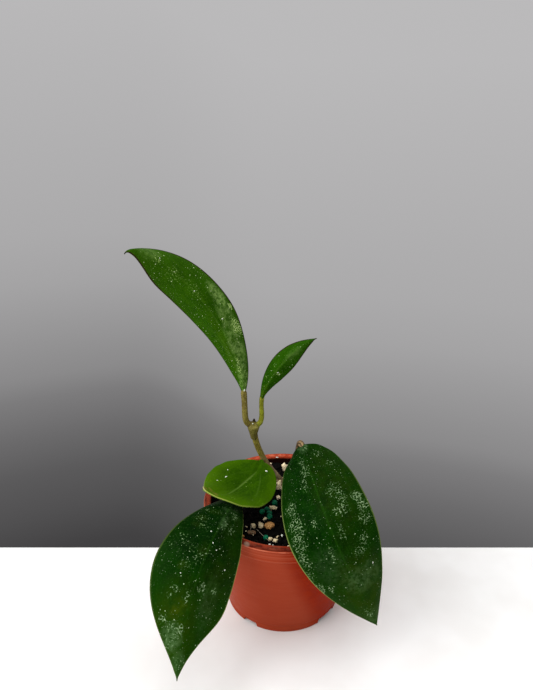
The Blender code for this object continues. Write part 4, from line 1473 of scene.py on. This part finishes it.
def make_pot():
    points, faces = lathe(rounded(pot_profile(), CORNER), POT_SIDES)
    pot = new_piece("grower_pot", points, faces, [pot_material()], "terracotta_plastic", ("pot",))
    face_outwards(pot.data)
    tools = bpy.data.collections.new("tools")
    bpy.context.scene.collection.children.link(tools)
    for bearing, width in FOOT_NOTCHES:
        tools.objects.link(notch(bearing, width))
        tools.objects.link(drain(bearing))
    cut = pot.modifiers.new("cut", "BOOLEAN")
    cut.operation = "DIFFERENCE"
    cut.operand_type = "COLLECTION"
    cut.collection = tools
    cut.solver = "EXACT"
    graph = bpy.context.evaluated_depsgraph_get()
    result = bpy.data.meshes.new_from_object(pot.evaluated_get(graph))
    pot.modifiers.clear()
    pot.data = result
    for tool in list(tools.objects):
        bpy.data.objects.remove(tool, do_unlink=True)
    bpy.data.collections.remove(tools)
    result.shade_smooth()
    result.set_sharp_from_angle(angle=math.radians(SHARP_ANGLE))
    # The inside is darkened up to the lip: soiling and painted shade.
    x, y, height = ((np.array([v.co for v in result.vertices]) - POT_AXIS) / MM).T
    limit = np.where(height < COLLAR_FOOT, wall_inner_radius(height) + 0.3, LIP_INNER + 0.8)
    inside = (np.hypot(x, y) < limit) & (height > FLOOR_TOP - 0.1)
    grime_and_shade = np.clip((POT_HEIGHT - 0.9 - height) / 2, 0, 1)
    keep_attribute(result, "grime_and_shade", "FLOAT", np.where(inside, grime_and_shade, 0.0))


# Potting mix


def clod_phases():
    rng = random.Random(SOIL_SEED)
    return [(rng.uniform(0, 6), rng.uniform(0, 6)) for _ in range(5)]


PHASES = clod_phases()


def soil_height(x, y):
    """The soil's level, as the solid has it without its own clods and chips."""
    clods = 0
    for k, (a, b) in enumerate(PHASES, 1):
        clods += math.sin(x * k * 0.21 + a) * math.cos(y * k * 0.19 + b) / k
    reach = math.hypot(x, y) / wall_inner_radius(SOIL_LEVEL)
    dimple = DIMPLE_DEPTH * hump(math.dist((x, y), STEM_FOOT), DIMPLE_WIDTH)
    climb = clipped((y - BANK_FOOT) / (BANK_TOP - BANK_FOOT))
    bank = BANK_HEIGHT * climb * climb * (3 - 2 * climb)
    return SOIL_LEVEL + CLOD * clods - WALL_SINK * reach**4 - dimple + bank


def crumbly(x, y):
    """Extra height of crumbs on the soil's level."""
    place = Vector((x, y, 0))
    coarse = turbulence.noise(place * 0.45)
    cells = turbulence.voronoi(place * 0.62)[0]
    fine = turbulence.turbulence(place * 1.1, 3, False)
    return 0.55 * coarse + 0.7 * (0.5 - min(cells[0], 1.0)) + 0.4 * fine - 0.35


def disc_place(u, v):
    """A place in the unit square, taken to the unit disc with even spacing."""
    if u == 0 and v == 0:
        return 0.0, 0.0
    if abs(u) > abs(v):
        return u * math.cos(math.pi / 4 * v / u), u * math.sin(math.pi / 4 * v / u)
    return v * math.sin(math.pi / 4 * u / v), v * math.cos(math.pi / 4 * u / v)


def make_soil():
    """The soil's crumbly top as a grid pressed into a disc, and its side and underside."""
    cells = SOIL_CELLS
    across = cells + 1
    rim = LIP_INNER + 0.15
    foot = wall_inner_radius(FLOOR_TOP) - 0.1
    low, high = FLOOR_TOP + 0.1, SOIL_LEVEL - 2
    points = []
    for row in range(across):
        for column in range(across):
            x, y = (rim * part for part in disc_place(2 * row / cells - 1, 2 * column / cells - 1))
            points.append((x, y, soil_height(x, y) + crumbly(x, y)))
    corners = [row * across + column for row in range(cells) for column in range(cells)]
    faces = [(a, a + across, a + across + 1, a + 1) for a in corners]
    edge = [row * across for row in range(cells)] + [cells * across + column for column in range(cells)]
    edge += [row * across + cells for row in range(cells, 0, -1)] + list(range(cells, 0, -1))
    above = edge
    for share in (0.3, 0.65, 1.0):
        below = list(range(len(points), len(points) + len(edge)))
        for index in edge:
            x, y, _ = points[index]
            reach = (rim + (foot - rim) * share) / math.hypot(x, y)
            points.append((x * reach, y * reach, high + (low - high) * share))
        faces += list(zip(above, above[1:] + above[:1], below[1:] + below[:1], below))
        above = below
    faces.append(tuple(above))
    look = lump_material("potting_mix", (3, 3, 2), (13, 10, 8), 1.1, 0.5, 0.94)
    soil = new_piece("potting_mix", points, faces, [look], "potting_soil", ("soil",))
    face_outwards(soil.data)


def gather(name, lumps, *finish_values):
    """Many lumps on the soil as one piece. The values are those of lump_material."""
    new_piece(name, *joined(lumps), [lump_material(name, *finish_values)], "potting_soil")


def random_turn(rng, tilt):
    turn = Matrix.Rotation(rng.uniform(0, 2 * math.pi), 3, "Z")
    for axis in "XY":
        turn = turn @ Matrix.Rotation(rng.uniform(-tilt, tilt), 3, axis)
    return turn


def scatter_places(rng, count, reach):
    """Random places on the soil, clear of the stem's foot."""
    places = []
    while len(places) < count:
        x, y = rng.uniform(-reach, reach), rng.uniform(-reach, reach)
        if math.hypot(x, y) < reach and math.dist((x, y), STEM_FOOT) > STEM_CLEARANCE:
            places.append((x, y))
    return places


def on_soil(x, y, rise):
    return x, y, soil_height(x, y) + rise


def make_crumbs(rng):
    crumbs = []
    for x, y in scatter_places(rng, CRUMB_COUNT, CRUMB_REACH):
        size = [rng.uniform(0.7, 2.4) for _ in range(3)]
        crumbs.append(lump(on_soil(x, y, 0.25 * size[2] + 0.2), size, random_turn(rng, 1.2), 0.5, rng, 1))
    gather("peat_crumbs", crumbs, (4, 4, 3), (17, 13, 10), 2.0, 0.3, 0.92)


def make_fibres(rng):
    fibres = []
    for x, y in scatter_places(rng, FIBRE_COUNT, FIBRE_REACH):
        size = (rng.uniform(2.0, 5.2), rng.uniform(0.3, 0.7), rng.uniform(0.25, 0.6))
        fibres.append(lump(on_soil(x, y, 0.7), size, random_turn(rng, 0.35), 0.4, rng, 1))
    gather("bark_fibres", fibres, (14, 11, 8), (40, 30, 22), 2.0, 0.2, 0.85)


def make_chips(rng):
    """The chips that lie where they are named, then small ones at random."""
    heaps = {kind: [] for kind in CHIP_KINDS}
    for x, y, long, wide, high, kind in CHIPS:
        rough = 0.2 if kind == "tan" else 0.36
        place = on_soil(x, y, 0.22 * high + 0.3)
        heaps[kind].append(lump(place, (long, wide, high), random_turn(rng, 0.25), rough, rng, 3, 0.66))
    for x, y in scatter_places(rng, SMALL_CHIP_COUNT, SMALL_CHIP_REACH):
        kind, largest = rng.choice(("cream", "cream", "brown", "tan")), 3.0
        if all(low < place < high for place, (low, high) in zip((x, y), OPEN_SOIL)):
            kind, largest = "cream", 0.9
        size = [rng.uniform(0.5, 1.0) * largest for _ in range(3)]
        place = on_soil(x, y, 0.2 * size[2] + 0.5)
        heaps[kind].append(lump(place, size, random_turn(rng, 0.8), 0.42, rng, 2, 0.8))
    for kind, (piece_name, dark, light, roughness) in CHIP_KINDS.items():
        gather(piece_name, heaps[kind], dark, light, 1.6, 0.3, roughness)


def make_prills(rng):
    beads = []
    for x, y in PRILLS:
        radius = PRILL_RADIUS * rng.uniform(0.92, 1.06)
        size = (2 * radius, 1.94 * radius, 1.88 * radius)
        beads.append(lump(on_soil(x, y, 0.35 * radius + 0.3), size, random_turn(rng, 3), 0.05, rng, 3))
    new_piece("fertiliser_prills", *joined(beads), [prill_material()], "potting_soil")


def make_threads():
    # The vector noise draws its own offsets, so it is seeded too.
    turbulence.seed_set(SEED)
    share = np.linspace(0, 1, THREAD_STEPS)
    threads = []
    for handles in ROOT_THREADS:
        centres = bezier(handles, share)
        wobble = np.array([turbulence.noise_vector(Vector(p) * 0.6) for p in centres])
        centres = centres + 0.35 * wobble * np.sin(math.pi * share)[:, None]
        radii = THREAD_RADIUS * (0.35 + 0.65 * np.sin(math.pi * (0.06 + 0.88 * share)))
        threads.append(tube_mesh(centres, radii, THREAD_SIDES))
    gather("root_threads", threads, (120, 110, 96), (176, 168, 150), 3.0, 0.04, 0.7)


def make_mix():
    """Crumbs, bark, chips and fertiliser prills on the soil, each kind as one piece."""
    rng = random.Random(SEED)
    for make in (make_crumbs, make_fibres, make_chips, make_prills):
        make(rng)
    make_threads()


# Stage


def make_floor():
    """A pale slab that ends behind the pot."""
    far, front, back = FLOOR_REACH, -FLOOR_REACH, FLOOR_BACK
    outer = ((-far, front), (far, front), (far, back), (-far, back))
    corners = [(x, y, z) for z in (-FLOOR_THICKNESS, FLOOR_LEVEL) for x, y in outer]
    mesh = new_mesh("studio_floor", to_world(corners), BOX_FACES)
    face_outwards(mesh)
    floor = placed("studio_floor", mesh)
    edge = floor.modifiers.new("edge", "BEVEL")
    edge.width = FLOOR_EDGE * MM
    edge.segments = 3
    made, tree, shader = new_material("pale floor", Roughness=0.55)
    cloudy = grain(place_in_mm(tree), 0.02, 3.0, 0.5)
    finish(shader, mix(ease(cloudy, 0.35, 0.65), shade(238, 237, 235), shade(246, 246, 245)))
    mesh.materials.append(made)


def make_world():
    """A plain grey surround that darkens downwards."""
    world = bpy.data.worlds.new("studio")
    bpy.context.scene.world = world
    world.use_nodes = True
    tree = world.node_tree
    x, _, z = parts(add("ShaderNodeTexCoord", {}, tree)("Generated"))
    rise = z + ease(x, -0.22, 0.02, 0.0, SURROUND_STEP)
    ramp = tree.nodes.new("ShaderNodeValToRGB")
    tree.links.new(((rise + 1.0) * 0.5).socket, ramp.inputs[0])
    tree.links.new(ramp.outputs["Color"], tree.nodes["Background"].inputs["Color"])
    elements = ramp.color_ramp.elements
    elements[0].position, elements[0].color = 0.0, shade(48, 47, 47)
    elements[1].position, elements[1].color = 1.0, shade(196, 195, 195)
    for height, grey in SURROUND_GREYS:
        elements.new(0.5 + 0.5 * height).color = shade(grey, grey - 1, grey)


def make_light(name, place, aim, size, power):
    data = bpy.data.lights.new(name, "AREA")
    data.shape = "DISK"
    data.size = size
    data.energy = power
    light = placed(name, data)
    light.location = to_world(place)
    away = Vector(to_world(place) - to_world(aim))
    light.rotation_euler = away.to_track_quat("Z", "Y").to_euler()


def make_camera():
    data = bpy.data.cameras.new("camera")
    data.sensor_width = SENSOR
    data.lens = FOCAL_LENGTH * SENSOR / PICTURE_HEIGHT
    data.clip_start = 0.01
    camera = placed("camera", data)
    camera.location = to_world(CAMERA_PLACE)
    camera.rotation_euler = (math.radians(CAMERA_PITCH), 0, 0)
    bpy.context.scene.camera = camera


def main():
    make_camera()
    for name, leaf in LEAVES.items():
        make_blade(name, leaf)
    make_specks()
    make_stem()
    make_pot()
    make_soil()
    make_mix()
    make_floor()
    make_world()
    for name, values in LIGHTS.items():
        make_light(name, *values)
    bpy.context.scene.view_settings.view_transform = "Standard"


main()
